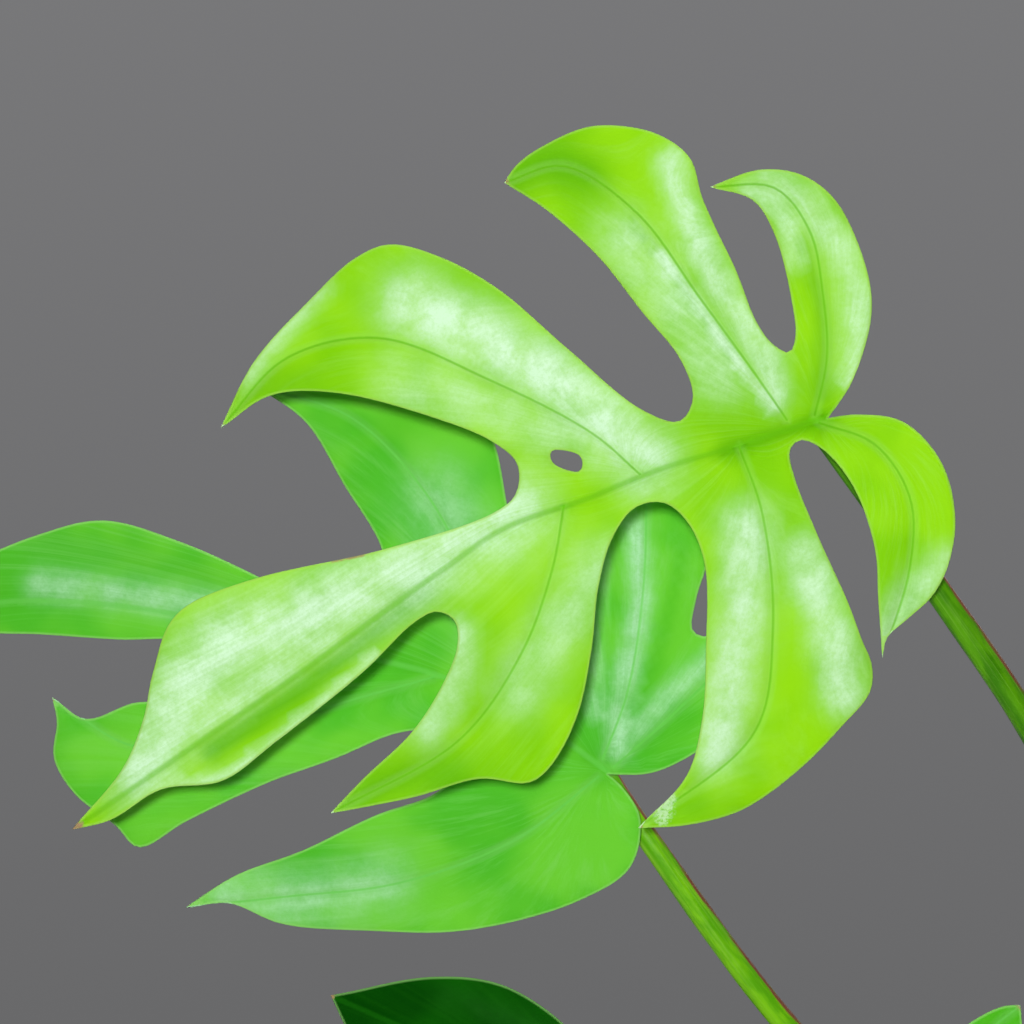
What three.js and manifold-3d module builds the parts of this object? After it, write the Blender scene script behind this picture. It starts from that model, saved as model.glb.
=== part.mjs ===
// A potted mini monstera (Rhaphidophora tetrasperma): one climbing stem in a clay pot, six leaves on
// stalks, a rolled new leaf at the tip and aerial roots that run down into the soil.
// Millimetres, +Z up. The origin is the centre of the pot's underside, and +Y points away from the
// side that the leaves face.
import * as THREE from 'three';
import { mergeVertices } from 'three/addons/utils/BufferGeometryUtils.js';
import Module from 'manifold-3d';

const wasm = await Module();
wasm.setup();

// ---- Driving dimensions ----------------------------------------------------------------------

const CLEARANCE = 0.3; // between any two pieces that touch

const POT = {
  height: 125,
  rimRadius: 75, // outside, at the top
  baseRadius: 54, // outside, at the foot
  wall: 6,
  floor: 8,
  bandHeight: 24, // the thicker band under the rim
  bandStep: 3.5, // how far the band stands out from the wall below it
  drainRadius: 5,
  drainCircle: 26, // radius of the circle that the drain holes sit on
  drainCount: 4,
};

const SOIL = {
  belowRim: 14, // the watering space
  crown: 3, // how much the middle is mounded
};

const STEM = {
  radius: 4.8,
  nodeSwelling: 1.2, // added to the radius at each node
  nodeReach: 3.2, // how far a swelling fades along the stem
  buried: 42, // depth of the stem's foot below the soil's edge
  height: 251, // of the growing tip above the soil's edge
  tip: 3, // radius where the rolled leaf comes out
  tipLength: 20,
};

const STALK = {
  radius: 2.6, // under the largest blade; a smaller blade has a thinner stalk
  thickening: 0.75, // added to the radius further down the stalk
  thickensOver: 45,
  sheath: 0.9, // added to the radius where the stalk clasps the stem
  sheathLength: 14,
  knee: 0.25, // added at the swollen joint under the blade
  kneeDepth: 8, // how far behind the blade the stalk turns up to meet it
  meets: [1.8, -0.8], // where the stalk meets the blade, on the blade's outline
};

const BLADE_THICKNESS = 0.8;
const ROOT = { radius: 1.3, depthInSoil: 16 };
const NEW_LEAF = { length: 108, radius: 4.6 };

const OUTLINE_STEP = 6.5; // between points along a leaf's margin
const FACE_EDGE = 12; // longest edge inside a leaf's face

const COLOUR = {
  lime: 0x9bdd3a,
  green: 0x5fbf3c,
  deepGreen: 0x2f7d2a,
  stalk: 0x6fae35,
  stem: 0x5f8f3a,
  root: 0x8a6a48,
  soil: 0x3a2a20,
  clay: 0xb5683f,
};

// ---- Leaf shapes -----------------------------------------------------------------------------
// x runs from the stalk to the tip and y across the blade. Each stretch of margin is a smooth
// curve from one pointed tip to the next, and starts where the one before it ended.

const MATURE_LEAF = {
  length: 190,
  start: [0, 0],
  margin: [
    [[-8.5, -5], [-19, -16], [-23, -27], [-24, -41], [-20, -50], [-13, -55], [-2, -57]],
    [[-8.5, -50], [-9, -41], [-5, -26], [-2, -19], [0.8, -16.6], [3.2, -20], [4, -26], [2.5, -38],
      [1, -55], [-1, -65], [3, -73.5], [14, -81.5], [26, -83], [33, -82], [37, -80]],
    [[32, -70], [27, -55], [24.5, -40], [22.3, -27], [24, -18], [29, -15], [35, -21], [43, -41],
      [50, -60], [57.5, -72], [66, -80], [74, -81], [88, -77.5], [105, -71.5], [118, -62.6]],
    [[105, -63.5], [92, -57], [75, -41], [67, -31], [64.5, -24], [68, -18.3], [74, -17], [99, -21.5],
      [127, -29.5], [143, -31.5], [149, -29.5], [157, -22], [164, -14], [173, -7], [190, -0.5]],
    [[181, 1.6], [168, 1], [155, 5.8], [141, 4], [116, -0.4], [101, -4.5], [95.5, -4.2], [93, -0.5],
      [95, 4.5], [102, 10.5], [113, 16.5], [127, 20.3], [137.4, 23.6]],
    [[119, 29.3], [105, 32.5], [96, 38.5], [90.5, 37.8], [80, 31], [70, 19.5], [62, 8], [54, 0],
      [46.5, -3.3], [40.5, -1.2], [38, 5], [39, 14.5], [47.5, 31], [56, 45], [65, 54.5], [79.7, 59.5]],
    [[70, 64], [58, 67], [43, 65.3], [29.5, 61], [20.5, 57], [17.5, 52], [17, 46], [15.7, 36],
      [14.6, 20], [13, 8], [10.8, 2], [7.5, 1.2], [4.5, 5], [2.6, 16], [5, 30], [9.5, 40], [14.6, 52]],
    [[12, 48.6], [5.5, 46.8], [-1, 45], [-7.5, 40.5], [-13.5, 32], [-16.5, 20], [-13.5, 8.5],
      [-5.5, 2.3], [0, 0]],
  ],
  hole: [[56.7, -22.9], [55.1, -22.4], [51.7, -19.2], [51.8, -17.4], [52.9, -16.1], [54, -16.1],
    [57.4, -19.6], [57.7, -21.5]],
  midrib: [[0, -0.5], [19, -4], [38, -8], [55, -10], [74, -13], [90, -11.5], [107, -9.5],
    [130, -6.5], [155, -4], [190, -0.5]],
  veins: [
    [[2, -2], [-6, -12], [-12, -25], [-16, -38], [-14, -50], [-2, -57]],
    [[8, -4], [10, -20], [12, -36], [15, -60], [24, -77], [37, -80]],
    [[42, -9], [47, -22], [61, -43], [78, -63], [98, -69], [118, -62.6]],
    [[2, 0], [-6, 10], [-7, 24], [0, 37], [14.6, 52]],
    [[20, -4], [23, 12], [33, 35], [47, 53], [79.7, 59.5]],
    [[60, -11], [69, 0], [84, 13], [105, 23], [137.4, 23.6]],
  ],
};

const CLIMBING_LEAF = {
  length: 168,
  start: [0, 0],
  margin: [
    [[-9.9, -3], [-18.5, -10], [-27, -21], [-32, -35], [-27, -55]],
    [[-22.5, -45], [-15.5, -37], [-11.5, -37.5], [-10.6, -45], [-11, -56], [-5, -70], [8, -75]],
    [[13, -64], [18, -50], [18.5, -36], [22.5, -30], [28, -35], [37.5, -56], [44, -70], [55, -83],
      [75, -86], [92, -79], [101, -70]],
    [[88, -64.5], [75.6, -52], [64, -40], [61, -31], [66, -24], [77, -23], [91, -26.6],
      [110, -30.2], [129, -31], [142, -25], [157, -14], [168, 0]],
    [[155, 1.5], [137, -1.8], [119, -4.8], [104, -8], [96, -6], [95, 0], [101, 6], [112, 9],
      [122.7, 15.5], [131.4, 12.3]],
    [[129, 17.4], [127.7, 26], [121, 33], [110, 38], [103.6, 41.8], [94, 33.2], [78, 20.4],
      [63, 10.6], [50, 1.4], [40, -1], [34, 5], [38, 13], [51, 21.8], [66, 34], [80, 43.5],
      [89.6, 53.4]],
    [[80, 50], [67, 51.8], [50, 49.3], [24, 43], [0, 30], [-9.9, 19.6], [-9.5, 8], [-4, 2.2], [0, 0]],
  ],
  midrib: [[0, -0.5], [18, -8], [43, -13.5], [82, -13.3], [108, -13.5], [139, -9.4], [168, 0]],
  veins: [
    [[-1, -2], [-12, -18], [-22, -35], [-27, -55]],
    [[2, -3], [0, -20], [2, -45], [8, -75]],
    [[18, -9], [36, -30], [56, -54], [78, -68], [101, -70]],
    [[2, 1], [18, 20], [42, 36], [66, 45], [89.6, 53.4]],
    [[45, -13], [65, -2], [88, 12], [110, 19], [131.4, 12.3]],
  ],
};

const YOUNG_LEAF = {
  length: 130,
  start: [0, 0],
  margin: [
    [[-12, -6], [-17, -20], [-12, -33], [4, -41], [22, -41]],
    [[18, -33], [18, -22], [22, -15.5], [28, -18.5], [36, -28], [46, -30.5], [60, -23]],
    [[55, -17], [55, -10.5], [61, -9.5], [70, -15.5], [80, -19.5], [95, -20.5], [110, -15], [130, 0]],
    [[118, 9], [104, 16], [86, 20], [70, 15], [59, 12.5], [54.5, 18], [60, 30], [72, 40]],
    [[56, 46], [42, 44], [32, 36], [26, 23], [20.5, 18.5], [16.5, 25], [16, 36], [20, 46]],
    [[4, 46], [-10, 36], [-16, 20], [-11, 6], [0, 0]],
  ],
  midrib: [[0, 0], [40, -1.5], [80, -2], [130, 0]],
  veins: [
    [[2, -1], [-2, -18], [6, -32], [22, -41]],
    [[22, -1], [32, -14], [44, -22], [60, -23]],
    [[2, 1], [-2, 18], [6, 36], [20, 46]],
    [[20, 0], [34, 20], [50, 34], [72, 40]],
  ],
};

const FIRST_LEAF = {
  length: 70,
  start: [0, 0],
  margin: [
    [[-9, -7], [-10, -20], [2, -28], [20, -29], [42, -21], [58, -10], [70, 0]],
    [[57, 9], [42, 20], [21, 28], [3, 27], [-9, 19], [-8, 7], [0, 0]],
  ],
  midrib: [[0, 0], [35, -0.5], [70, 0]],
  veins: [],
};

// ---- The plant's habit -----------------------------------------------------------------------
// Places in this section are measured from the middle of the soil's edge. Leaves run from the lowest
// to the highest. node: height where the stalk leaves the stem; base: where the blade starts;
// heading: the way that the tip points, in the blade's own plane; lean: how far the upper face looks
// up; turn: how far it looks round to +X; guides: points along the stalk. The first leaf hangs over
// the pot's rim, so its places follow the rim.

const LEAVES = [
  {
    shape: FIRST_LEAF, length: 70, node: 25, base: [24, 11 - POT.rimRadius, 41], heading: -62,
    lean: 48, turn: 18, guides: [[6, -14, 35], [16, 35 - POT.rimRadius, 39]], colour: COLOUR.green,
    relief: { gutter: 2.5, droop: 4, arch: 10, crease: 0 },
  },
  {
    shape: YOUNG_LEAF, length: 130, node: 39, base: [-76.5, -1.7, 107.7], heading: 154, lean: 7,
    turn: 0, guides: [[-13, 5, 53], [-42, 12, 83]], colour: COLOUR.deepGreen,
    relief: { gutter: 3, droop: 5, arch: 8, crease: 1.2 },
  },
  {
    shape: MATURE_LEAF, length: 142, mirrored: true, node: 53, base: [-28.6, -51.6, 108.9],
    heading: 30, lean: 7, turn: 0, guides: [[-9, -12, 68], [-23, -30, 91]], colour: COLOUR.green,
    relief: { gutter: 4, droop: 12, arch: 20, crease: 2 },
  },
  {
    shape: CLIMBING_LEAF, length: 163.3, node: 67, base: [-128.1, -29.6, 224.8], heading: 166.8,
    lean: 7, turn: 0, guides: [[-40, -10, 115], [-86.6, -21.9, 164.6], [-118.5, -25.8, 208.8]],
    colour: COLOUR.green, relief: { gutter: 3, droop: 6, arch: 10, crease: 1.5 },
  },
  {
    shape: CLIMBING_LEAF, length: 150, mirrored: true, node: 129, base: [72, 10, 211], heading: -24,
    lean: 16, turn: 30, guides: [[14, 10, 153], [44, 22, 187]], colour: COLOUR.green,
    relief: { gutter: 4, droop: 9, arch: 16, crease: 2 },
  },
  {
    shape: MATURE_LEAF, length: 190, node: 179, base: [-80.7, -57.5, 309.4], heading: 208.75,
    lean: 7, turn: 0, guides: [[-14, -16, 203], [-34, -35.9, 239], [-53.7, -42.5, 267.7]],
    colour: COLOUR.lime, relief: { gutter: 5, droop: 13, arch: 22, crease: 2.5 },
  },
];

// The stem leans a little to and fro between its nodes.
const STEM_SWAY = [[0, 0, 1], [-1.5, 1, 39], [1.5, -1, 67], [-1.5, 1, 129], [1, 0, 179], [0, 2, 224]];
const TOP_NODE = 219; // the last node, under the new leaf

const ROOTS = [
  { node: 67, out: [9, 16, 57], down: [[17, 27, 29], [19, 32, 7]] },
  { node: 39, out: [-12, -9, 29], down: [[-19, -17, 13]] },
  { node: 129, out: [-8, 15, 115], down: [[-17, 30, 79], [-20, 38, 39], [-19, 40, 9]] },
];

// ---- Helpers ---------------------------------------------------------------------------------

const SOIL_EDGE = POT.height - SOIL.belowRim;
const vectors = (points) => points.map((p) => new THREE.Vector3(...p));
const smooth = (points) => new THREE.CatmullRomCurve3(vectors(points), false, 'centripetal');

function toSolid(geometry) {
  const bare = geometry.clone();
  bare.deleteAttribute('normal');
  bare.deleteAttribute('uv');
  const merged = mergeVertices(bare, 1e-3);
  const corners = merged.index.array;
  const faces = [];
  for (let i = 0; i < corners.length; i += 3) {
    const [a, b, c] = corners.slice(i, i + 3);
    if (a !== b && b !== c && c !== a) faces.push(a, b, c);
  }
  const vertProperties = merged.attributes.position.array;
  return new wasm.Manifold(new wasm.Mesh({ numProp: 3, vertProperties, triVerts: new Uint32Array(faces) }));
}

function toGeometry(solid) {
  const made = solid.getMesh();
  const geometry = new THREE.BufferGeometry();
  geometry.setAttribute('position', new THREE.BufferAttribute(new Float32Array(made.vertProperties), 3));
  geometry.setIndex(new THREE.BufferAttribute(new Uint32Array(made.triVerts), 1));
  geometry.computeVertexNormals();
  return geometry;
}

// A body turned round the Z axis from a profile of [radius, height] points, from axis to axis.
function turned(profile, sides) {
  const points = profile.map(([r, z]) => new THREE.Vector2(r, z));
  return new THREE.LatheGeometry(points, sides).rotateX(Math.PI / 2);
}

// A round rod along a curve: a lathed rod whose rings are then carried onto the curve.
// radiusAt takes the distance from the start and the distance left to the end; past is how far
// both flat ends stand beyond the curve.
function rod(curve, radiusAt, sides, step, past = 0) {
  const length = curve.getLength();
  const rings = Math.ceil(length / step);
  const profile = [new THREE.Vector2(0, 0)];
  for (let i = 0; i <= rings; i++) {
    const along = (length * i) / rings;
    profile.push(new THREE.Vector2(radiusAt(along, length - along), i));
  }
  profile.push(new THREE.Vector2(0, rings));
  const geometry = new THREE.LatheGeometry(profile, sides);
  const { tangents, normals, binormals } = curve.computeFrenetFrames(rings);
  const place = geometry.attributes.position;
  for (let i = 0; i < place.count; i++) {
    const ring = Math.round(place.getY(i));
    const at = curve.getPointAt(ring / rings);
    at.addScaledVector(normals[ring], place.getX(i));
    at.addScaledVector(binormals[ring], -place.getZ(i));
    if (ring === 0) at.addScaledVector(tangents[ring], -past);
    if (ring === rings) at.addScaledVector(tangents[ring], past);
    place.setXYZ(i, at.x, at.y, at.z);
  }
  geometry.computeVertexNormals();
  return geometry;
}

// The point of a rising curve at a given height.
function atHeight(curve, height) {
  let low = 0;
  let high = 1;
  for (let i = 0; i < 40; i++) {
    const middle = (low + high) / 2;
    if (curve.getPointAt(middle).z < height) low = middle;
    else high = middle;
  }
  return curve.getPointAt(low);
}

function distanceToLine(line, x, y) {
  let nearest = Infinity;
  for (let i = 1; i < line.length; i++) {
    const [a, b] = [line[i - 1], line[i]];
    const reach = (x - a.x) * (b.x - a.x) + (y - a.y) * (b.y - a.y);
    const t = THREE.MathUtils.clamp(reach / ((b.x - a.x) ** 2 + (b.y - a.y) ** 2), 0, 1);
    nearest = Math.min(nearest, Math.hypot(x - a.x - t * (b.x - a.x), y - a.y - t * (b.y - a.y)));
  }
  return nearest;
}

// ---- Leaf blades -----------------------------------------------------------------------------

const flat = ([x, y]) => [x, y, 0];
const lineAlong = (points) => smooth(points.map(flat)).getSpacedPoints(16);

// The margin as a closed loop of points, with a point at every tip.
function outlineOf(shape, scale) {
  const loop = [];
  let from = shape.start;
  for (const stretch of shape.margin) {
    const curve = smooth([from, ...stretch].map(flat));
    const count = Math.max(2, Math.round((curve.getLength() * scale) / OUTLINE_STEP));
    loop.push(...curve.getSpacedPoints(count).slice(0, -1));
    from = stretch.at(-1);
  }
  return loop;
}

function holeOf(shape) {
  if (!shape.hole) return [];
  const ring = new THREE.CatmullRomCurve3(vectors(shape.hole.map(flat)), true, 'centripetal');
  return [ring.getSpacedPoints(10).slice(0, -1)];
}

// Height of the blade's middle surface: a gutter along the midrib, a crease along each side vein,
// lobes that hang back from the midrib, and an arch from the stalk to the tip.
function reliefOf(shape, relief) {
  const midrib = lineAlong(shape.midrib);
  const veins = shape.veins.map(lineAlong);
  return (x, y) => {
    const fromMidrib = distanceToLine(midrib, x, y);
    const along = x / shape.length - 0.3;
    let height = relief.gutter * (1 - Math.exp(-fromMidrib / 9));
    height -= relief.droop * (fromMidrib / 75) ** 2;
    height -= relief.arch * along * Math.abs(along);
    for (const vein of veins) height -= relief.crease * Math.exp(-distanceToLine(vein, x, y) / 6);
    return height;
  };
}

const edgeName = (a, b) => (a < b ? `${a},${b}` : `${b},${a}`);

// Each edge with the two faces beside it; an edge of the outline has only one.
function edgesOf(faces) {
  const edges = new Map();
  faces.forEach((face, f) => {
    face.forEach((a, i) => {
      const b = face[(i + 1) % 3];
      const name = edgeName(a, b);
      if (!edges.has(name)) edges.set(name, { a, b, sides: [] });
      edges.get(name).sides.push({ face: f, far: face[(i + 2) % 3] });
    });
  });
  return [...edges.values()].filter((edge) => edge.sides.length === 2);
}

function angleAt(points, corner, a, b) {
  const toA = points[a].clone().sub(points[corner]);
  return toA.angleTo(points[b].clone().sub(points[corner]));
}

// Turns the shared edge of two faces wherever that makes them less thin.
function turnThinFaces(points, faces) {
  for (let pass = 0; pass < 60; pass++) {
    const touched = new Set();
    for (const { a, b, sides: [one, two] } of edgesOf(faces)) {
      if (touched.has(one.face) || touched.has(two.face)) continue;
      const opposite = angleAt(points, one.far, a, b) + angleAt(points, two.far, a, b);
      if (opposite <= Math.PI + 1e-6) continue;
      faces[one.face] = [one.far, a, two.far];
      faces[two.face] = [two.far, b, one.far];
      touched.add(one.face).add(two.face);
    }
    if (touched.size === 0) return;
  }
}

// Halves every inner edge that is longer than the limit, longest first.
function halveLongEdges(points, faces, limit) {
  for (;;) {
    const span = (edge) => points[edge.a].distanceTo(points[edge.b]);
    const long = edgesOf(faces).filter((edge) => span(edge) > limit);
    if (long.length === 0) return;
    long.sort((p, q) => span(q) - span(p));
    const touched = new Set();
    for (const { a, b, sides: [one, two] } of long) {
      if (touched.has(one.face) || touched.has(two.face)) continue;
      const middle = points.push(points[a].clone().lerp(points[b], 0.5)) - 1;
      touched.add(one.face).add(two.face);
      faces[one.face] = [one.far, a, middle];
      faces[two.face] = [two.far, b, middle];
      faces.push([b, one.far, middle], [a, two.far, middle]);
    }
    turnThinFaces(points, faces);
  }
}

// A closed sheet: the outline filled with faces, raised by the relief and given its thickness.
function bladeGeometry(leaf) {
  const { shape } = leaf;
  const scale = leaf.length / shape.length;
  const side = leaf.mirrored ? -1 : 1;
  const outline = outlineOf(shape, scale);
  const holes = holeOf(shape);
  const rings = [outline, ...holes].map((ring) => ring.map((p) => new THREE.Vector2(p.x, p.y)));
  const points = [outline, ...holes].flat();
  const faces = THREE.ShapeUtils.triangulateShape(rings[0], rings.slice(1));
  turnThinFaces(points, faces);
  halveLongEdges(points, faces, FACE_EDGE / scale);

  const reliefAt = reliefOf(shape, leaf.relief);
  const half = BLADE_THICKNESS / 2;
  const position = [];
  for (const face of [half, -half]) {
    for (const p of points) {
      position.push(p.x * scale, p.y * scale * side, reliefAt(p.x, p.y) * scale + face);
    }
  }
  const under = points.length;
  const index = [];
  const signed = faces.map(([a, b, c]) => {
    const cross = (points[b].x - points[a].x) * (points[c].y - points[a].y)
      - (points[b].y - points[a].y) * (points[c].x - points[a].x);
    return cross * side > 0 ? [a, b, c] : [a, c, b];
  });
  const open = new Map();
  for (const [a, b, c] of signed) {
    index.push(a, b, c, a + under, c + under, b + under);
    for (const [p, q] of [[a, b], [b, c], [c, a]]) {
      if (open.has(`${q},${p}`)) open.delete(`${q},${p}`);
      else open.set(`${p},${q}`, [p, q]);
    }
  }
  for (const [p, q] of open.values()) index.push(p, p + under, q + under, p, q + under, q);

  const geometry = new THREE.BufferGeometry();
  geometry.setAttribute('position', new THREE.Float32BufferAttribute(position, 3));
  geometry.setIndex(index);
  geometry.computeVertexNormals();
  return geometry;
}

// ---- Stem, stalks, roots and the new leaf ----------------------------------------------------

const stemCurve = smooth([[0, 0, -STEM.buried], ...STEM_SWAY, [-1.5, 3, STEM.height]]);
const nodeHeights = [...LEAVES.map((leaf) => leaf.node), TOP_NODE];

function stemGeometry(extra) {
  const share = (STEM.height + STEM.buried) / stemCurve.getLength();
  const radiusAt = (along) => {
    const height = along * share - STEM.buried;
    const swellings = nodeHeights.map((node) => Math.exp(-(((height - node) / STEM.nodeReach) ** 2)));
    const toTip = Math.max(0, 1 - (STEM.height - height) / STEM.tipLength);
    const bare = STEM.radius - (STEM.radius - STEM.tip) * toTip ** 2;
    return bare + STEM.nodeSwelling * Math.max(...swellings) + extra;
  };
  return rod(stemCurve, radiusAt, 12, 3.2, extra);
}

const stemSleeve = toSolid(stemGeometry(CLEARANCE));

// A point that is fixed to a blade, in the plant's frame.
function onBlade(mesh, x, y, z) {
  mesh.updateWorldMatrix(true, false);
  return plant.worldToLocal(mesh.localToWorld(new THREE.Vector3(x, y, z)));
}

// The lowest height of a blade's underside over a disc, in the blade's own frame.
function undersideOver(mesh, x, y, radius) {
  const blade = new THREE.Mesh(mesh.geometry);
  const up = new THREE.Vector3(0, 0, 1);
  const places = [[x, y]];
  for (let step = 0; step < 16; step += 1) {
    const angle = (step * Math.PI) / 8;
    for (const part of [0.5, 1]) {
      places.push([x + part * radius * Math.cos(angle), y + part * radius * Math.sin(angle)]);
    }
  }
  const hits = places.flatMap(([px, py]) => {
    const ray = new THREE.Raycaster(new THREE.Vector3(px, py, -100), up);
    return ray.intersectObject(blade).slice(0, 1);
  });
  return Math.min(...hits.map((hit) => hit.point.z));
}

// The stalk leaves the stem at its node and turns up into the back of the blade at its base.
function stalkGeometry(leaf, mesh) {
  const side = leaf.mirrored ? -1 : 1;
  const scale = leaf.length / leaf.shape.length;
  const [x, y] = STALK.meets;
  const at = [x * scale, y * scale * side];
  const girth = 0.45 + (0.55 * leaf.length) / MATURE_LEAF.length;
  const back = undersideOver(mesh, ...at, STALK.radius * 0.75 * girth) - CLEARANCE;
  const start = atHeight(stemCurve, leaf.node);
  const points = [start.toArray(), ...leaf.guides];
  points.push(onBlade(mesh, at[0], at[1], back - STALK.kneeDepth).toArray());
  points.push(onBlade(mesh, at[0], at[1], back).toArray());
  const radiusAt = (along, left) => {
    const sheath = STALK.sheath * Math.exp(-along / STALK.sheathLength);
    const knee = STALK.knee * Math.exp(-(((left - STALK.kneeDepth) / 6) ** 2));
    const thickening = STALK.thickening * (1 - Math.exp(-left / STALK.thickensOver));
    return (STALK.radius * Math.min(1, 0.75 + left / 16) + thickening) * girth + sheath + knee;
  };
  const solid = toSolid(rod(smooth(points), radiusAt, 8, 7));
  return toGeometry(solid.subtract(stemSleeve));
}

function rootGeometry(root, extra) {
  const start = atHeight(stemCurve, root.node);
  const last = root.down.at(-1);
  const foot = [last[0], last[1] + 1, -ROOT.depthInSoil];
  const curve = smooth([start.toArray(), root.out, ...root.down, foot]);
  return rod(curve, () => ROOT.radius + extra, 6, 7, extra);
}

function newLeafGeometry() {
  const top = stemCurve.getPointAt(1);
  const ahead = (distance) => top.clone().addScaledVector(stemCurve.getTangentAt(1), distance).toArray();
  const curve = smooth([
    ahead(CLEARANCE),
    ahead(NEW_LEAF.length * 0.06),
    [top.x + 1, top.y - 2, top.z + NEW_LEAF.length * 0.3],
    [top.x + 3, top.y - 6, top.z + NEW_LEAF.length * 0.7],
    [top.x + 8, top.y - 11, top.z + NEW_LEAF.length],
  ]);
  const radiusAt = (along, left) => {
    const belly = Math.sin(Math.PI * Math.min(1, (0.25 + along / NEW_LEAF.length) ** 1.3));
    return 0.6 + (NEW_LEAF.radius - 0.6) * Math.max(belly, 0) * Math.min(1, left / 12);
  };
  return rod(curve, radiusAt, 10, 6);
}

// ---- Pot and soil ----------------------------------------------------------------------------

const flare = (POT.rimRadius - POT.bandStep - POT.baseRadius) / POT.height;
const outerRadius = (z) => POT.baseRadius + flare * z;
const innerRadius = (z) => outerRadius(z) - POT.wall;

function potGeometry() {
  const bandFoot = POT.height - POT.bandHeight;
  const fillet = 1.5;
  const profile = [
    [0, 0],
    [POT.baseRadius - fillet, 0],
    [outerRadius(fillet), fillet],
    [outerRadius(bandFoot), bandFoot],
    [outerRadius(bandFoot) + POT.bandStep - 1, bandFoot + 0.5],
    [outerRadius(bandFoot) + POT.bandStep, bandFoot + 2],
    [POT.rimRadius, POT.height - fillet],
    [POT.rimRadius - fillet, POT.height],
    [innerRadius(POT.height) + fillet, POT.height],
    [innerRadius(POT.height), POT.height - fillet],
    [innerRadius(POT.floor), POT.floor],
    [0, POT.floor],
  ];
  let pot = toSolid(turned(profile, 64));
  for (let i = 0; i < POT.drainCount; i++) {
    const angle = (Math.PI * 2 * (i + 0.5)) / POT.drainCount;
    const drill = new THREE.CylinderGeometry(POT.drainRadius, POT.drainRadius, POT.floor * 3, 24);
    drill.rotateX(Math.PI / 2);
    drill.translate(POT.drainCircle * Math.cos(angle), POT.drainCircle * Math.sin(angle), 0);
    pot = pot.subtract(toSolid(drill));
  }
  return toGeometry(pot);
}

function soilGeometry() {
  const foot = POT.floor + CLEARANCE;
  const fit = CLEARANCE / Math.cos(Math.PI / 64) + 0.1; // both bodies are 64-sided
  const profile = [
    [0, foot],
    [innerRadius(foot) - fit, foot],
    [innerRadius(SOIL_EDGE) - fit, SOIL_EDGE],
    [innerRadius(SOIL_EDGE) * 0.6, SOIL_EDGE + SOIL.crown * 0.7],
    [0, SOIL_EDGE + SOIL.crown],
  ];
  let soil = toSolid(turned(profile, 64));
  for (const grown of [stemGeometry(CLEARANCE), ...ROOTS.map((root) => rootGeometry(root, CLEARANCE))]) {
    soil = soil.subtract(toSolid(grown.translate(0, 0, SOIL_EDGE)));
  }
  return toGeometry(soil);
}

// ---- Assembly --------------------------------------------------------------------------------

const potted = new THREE.Group();
const plant = new THREE.Group();
plant.position.z = SOIL_EDGE;
potted.add(plant);

function add(name, geometry, colour, roughness, holder = plant) {
  const material = new THREE.MeshStandardMaterial({ color: colour, roughness, metalness: 0 });
  const mesh = new THREE.Mesh(geometry, material);
  mesh.name = name;
  holder.add(mesh);
  return mesh;
}

add('pot', potGeometry(), COLOUR.clay, 0.85, potted);
add('soil', soilGeometry(), COLOUR.soil, 0.95, potted);
add('stem', stemGeometry(0), COLOUR.stem, 0.5);
add('new_leaf', newLeafGeometry(), COLOUR.lime, 0.4);

LEAVES.forEach((leaf, i) => {
  const holder = new THREE.Group();
  holder.position.set(...leaf.base);
  holder.rotation.z = THREE.MathUtils.degToRad(leaf.turn);
  plant.add(holder);
  const blade = add(`leaf_${i + 1}`, bladeGeometry(leaf), leaf.colour, 0.4, holder);
  blade.rotation.set(THREE.MathUtils.degToRad(90 - leaf.lean), 0, THREE.MathUtils.degToRad(leaf.heading));
  add(`leaf_stalk_${i + 1}`, stalkGeometry(leaf, blade), COLOUR.stalk, 0.5);
});

ROOTS.forEach((root, i) => {
  const solid = toSolid(rootGeometry(root, 0)).subtract(stemSleeve);
  add(`aerial_root_${i + 1}`, toGeometry(solid), COLOUR.root, 0.9);
});

export default potted;
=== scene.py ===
"""The looks of a potted mini monstera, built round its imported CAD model.

Tables and lengths are in millimetres unless a comment says otherwise; meshes are made in metres.
Each blade is drawn flat, on a plan where x runs from the stalk to the tip and y across the blade.
"""
import math
import random

import bpy
import numpy as np
from mathutils import Matrix, Vector, noise
from mathutils.geometry import delaunay_2d_cdt


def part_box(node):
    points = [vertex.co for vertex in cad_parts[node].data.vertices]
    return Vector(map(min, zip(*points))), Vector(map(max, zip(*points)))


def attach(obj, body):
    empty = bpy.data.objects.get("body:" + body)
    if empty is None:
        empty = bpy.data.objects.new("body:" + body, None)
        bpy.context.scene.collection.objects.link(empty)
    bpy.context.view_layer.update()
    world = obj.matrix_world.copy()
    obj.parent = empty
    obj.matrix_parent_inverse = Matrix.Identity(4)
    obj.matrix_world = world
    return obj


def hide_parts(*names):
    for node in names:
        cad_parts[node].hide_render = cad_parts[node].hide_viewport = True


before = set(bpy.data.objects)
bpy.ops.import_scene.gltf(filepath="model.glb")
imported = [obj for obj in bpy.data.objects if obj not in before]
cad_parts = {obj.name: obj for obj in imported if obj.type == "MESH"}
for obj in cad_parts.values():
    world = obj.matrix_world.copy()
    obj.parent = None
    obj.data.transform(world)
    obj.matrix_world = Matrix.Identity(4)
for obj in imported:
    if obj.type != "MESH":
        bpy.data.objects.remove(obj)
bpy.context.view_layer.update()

MM = 0.001

# ---- Leaf shapes, as in the CAD model --------------------------------------------------------
# margin: smooth stretches from one pointed tip to the next. The sheen strokes are painted highlight,
# a paler and glossier surface that also stands for a pale bloom, each a line, its half width and its
# strength. deep: the same for darker, saturated green, which is painted shade in the valleys of folds
# beside the veins and at the stalk's join, and the leaf's own deeper tone near the lobe tips. scars
# and dry for dead tissue.

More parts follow.
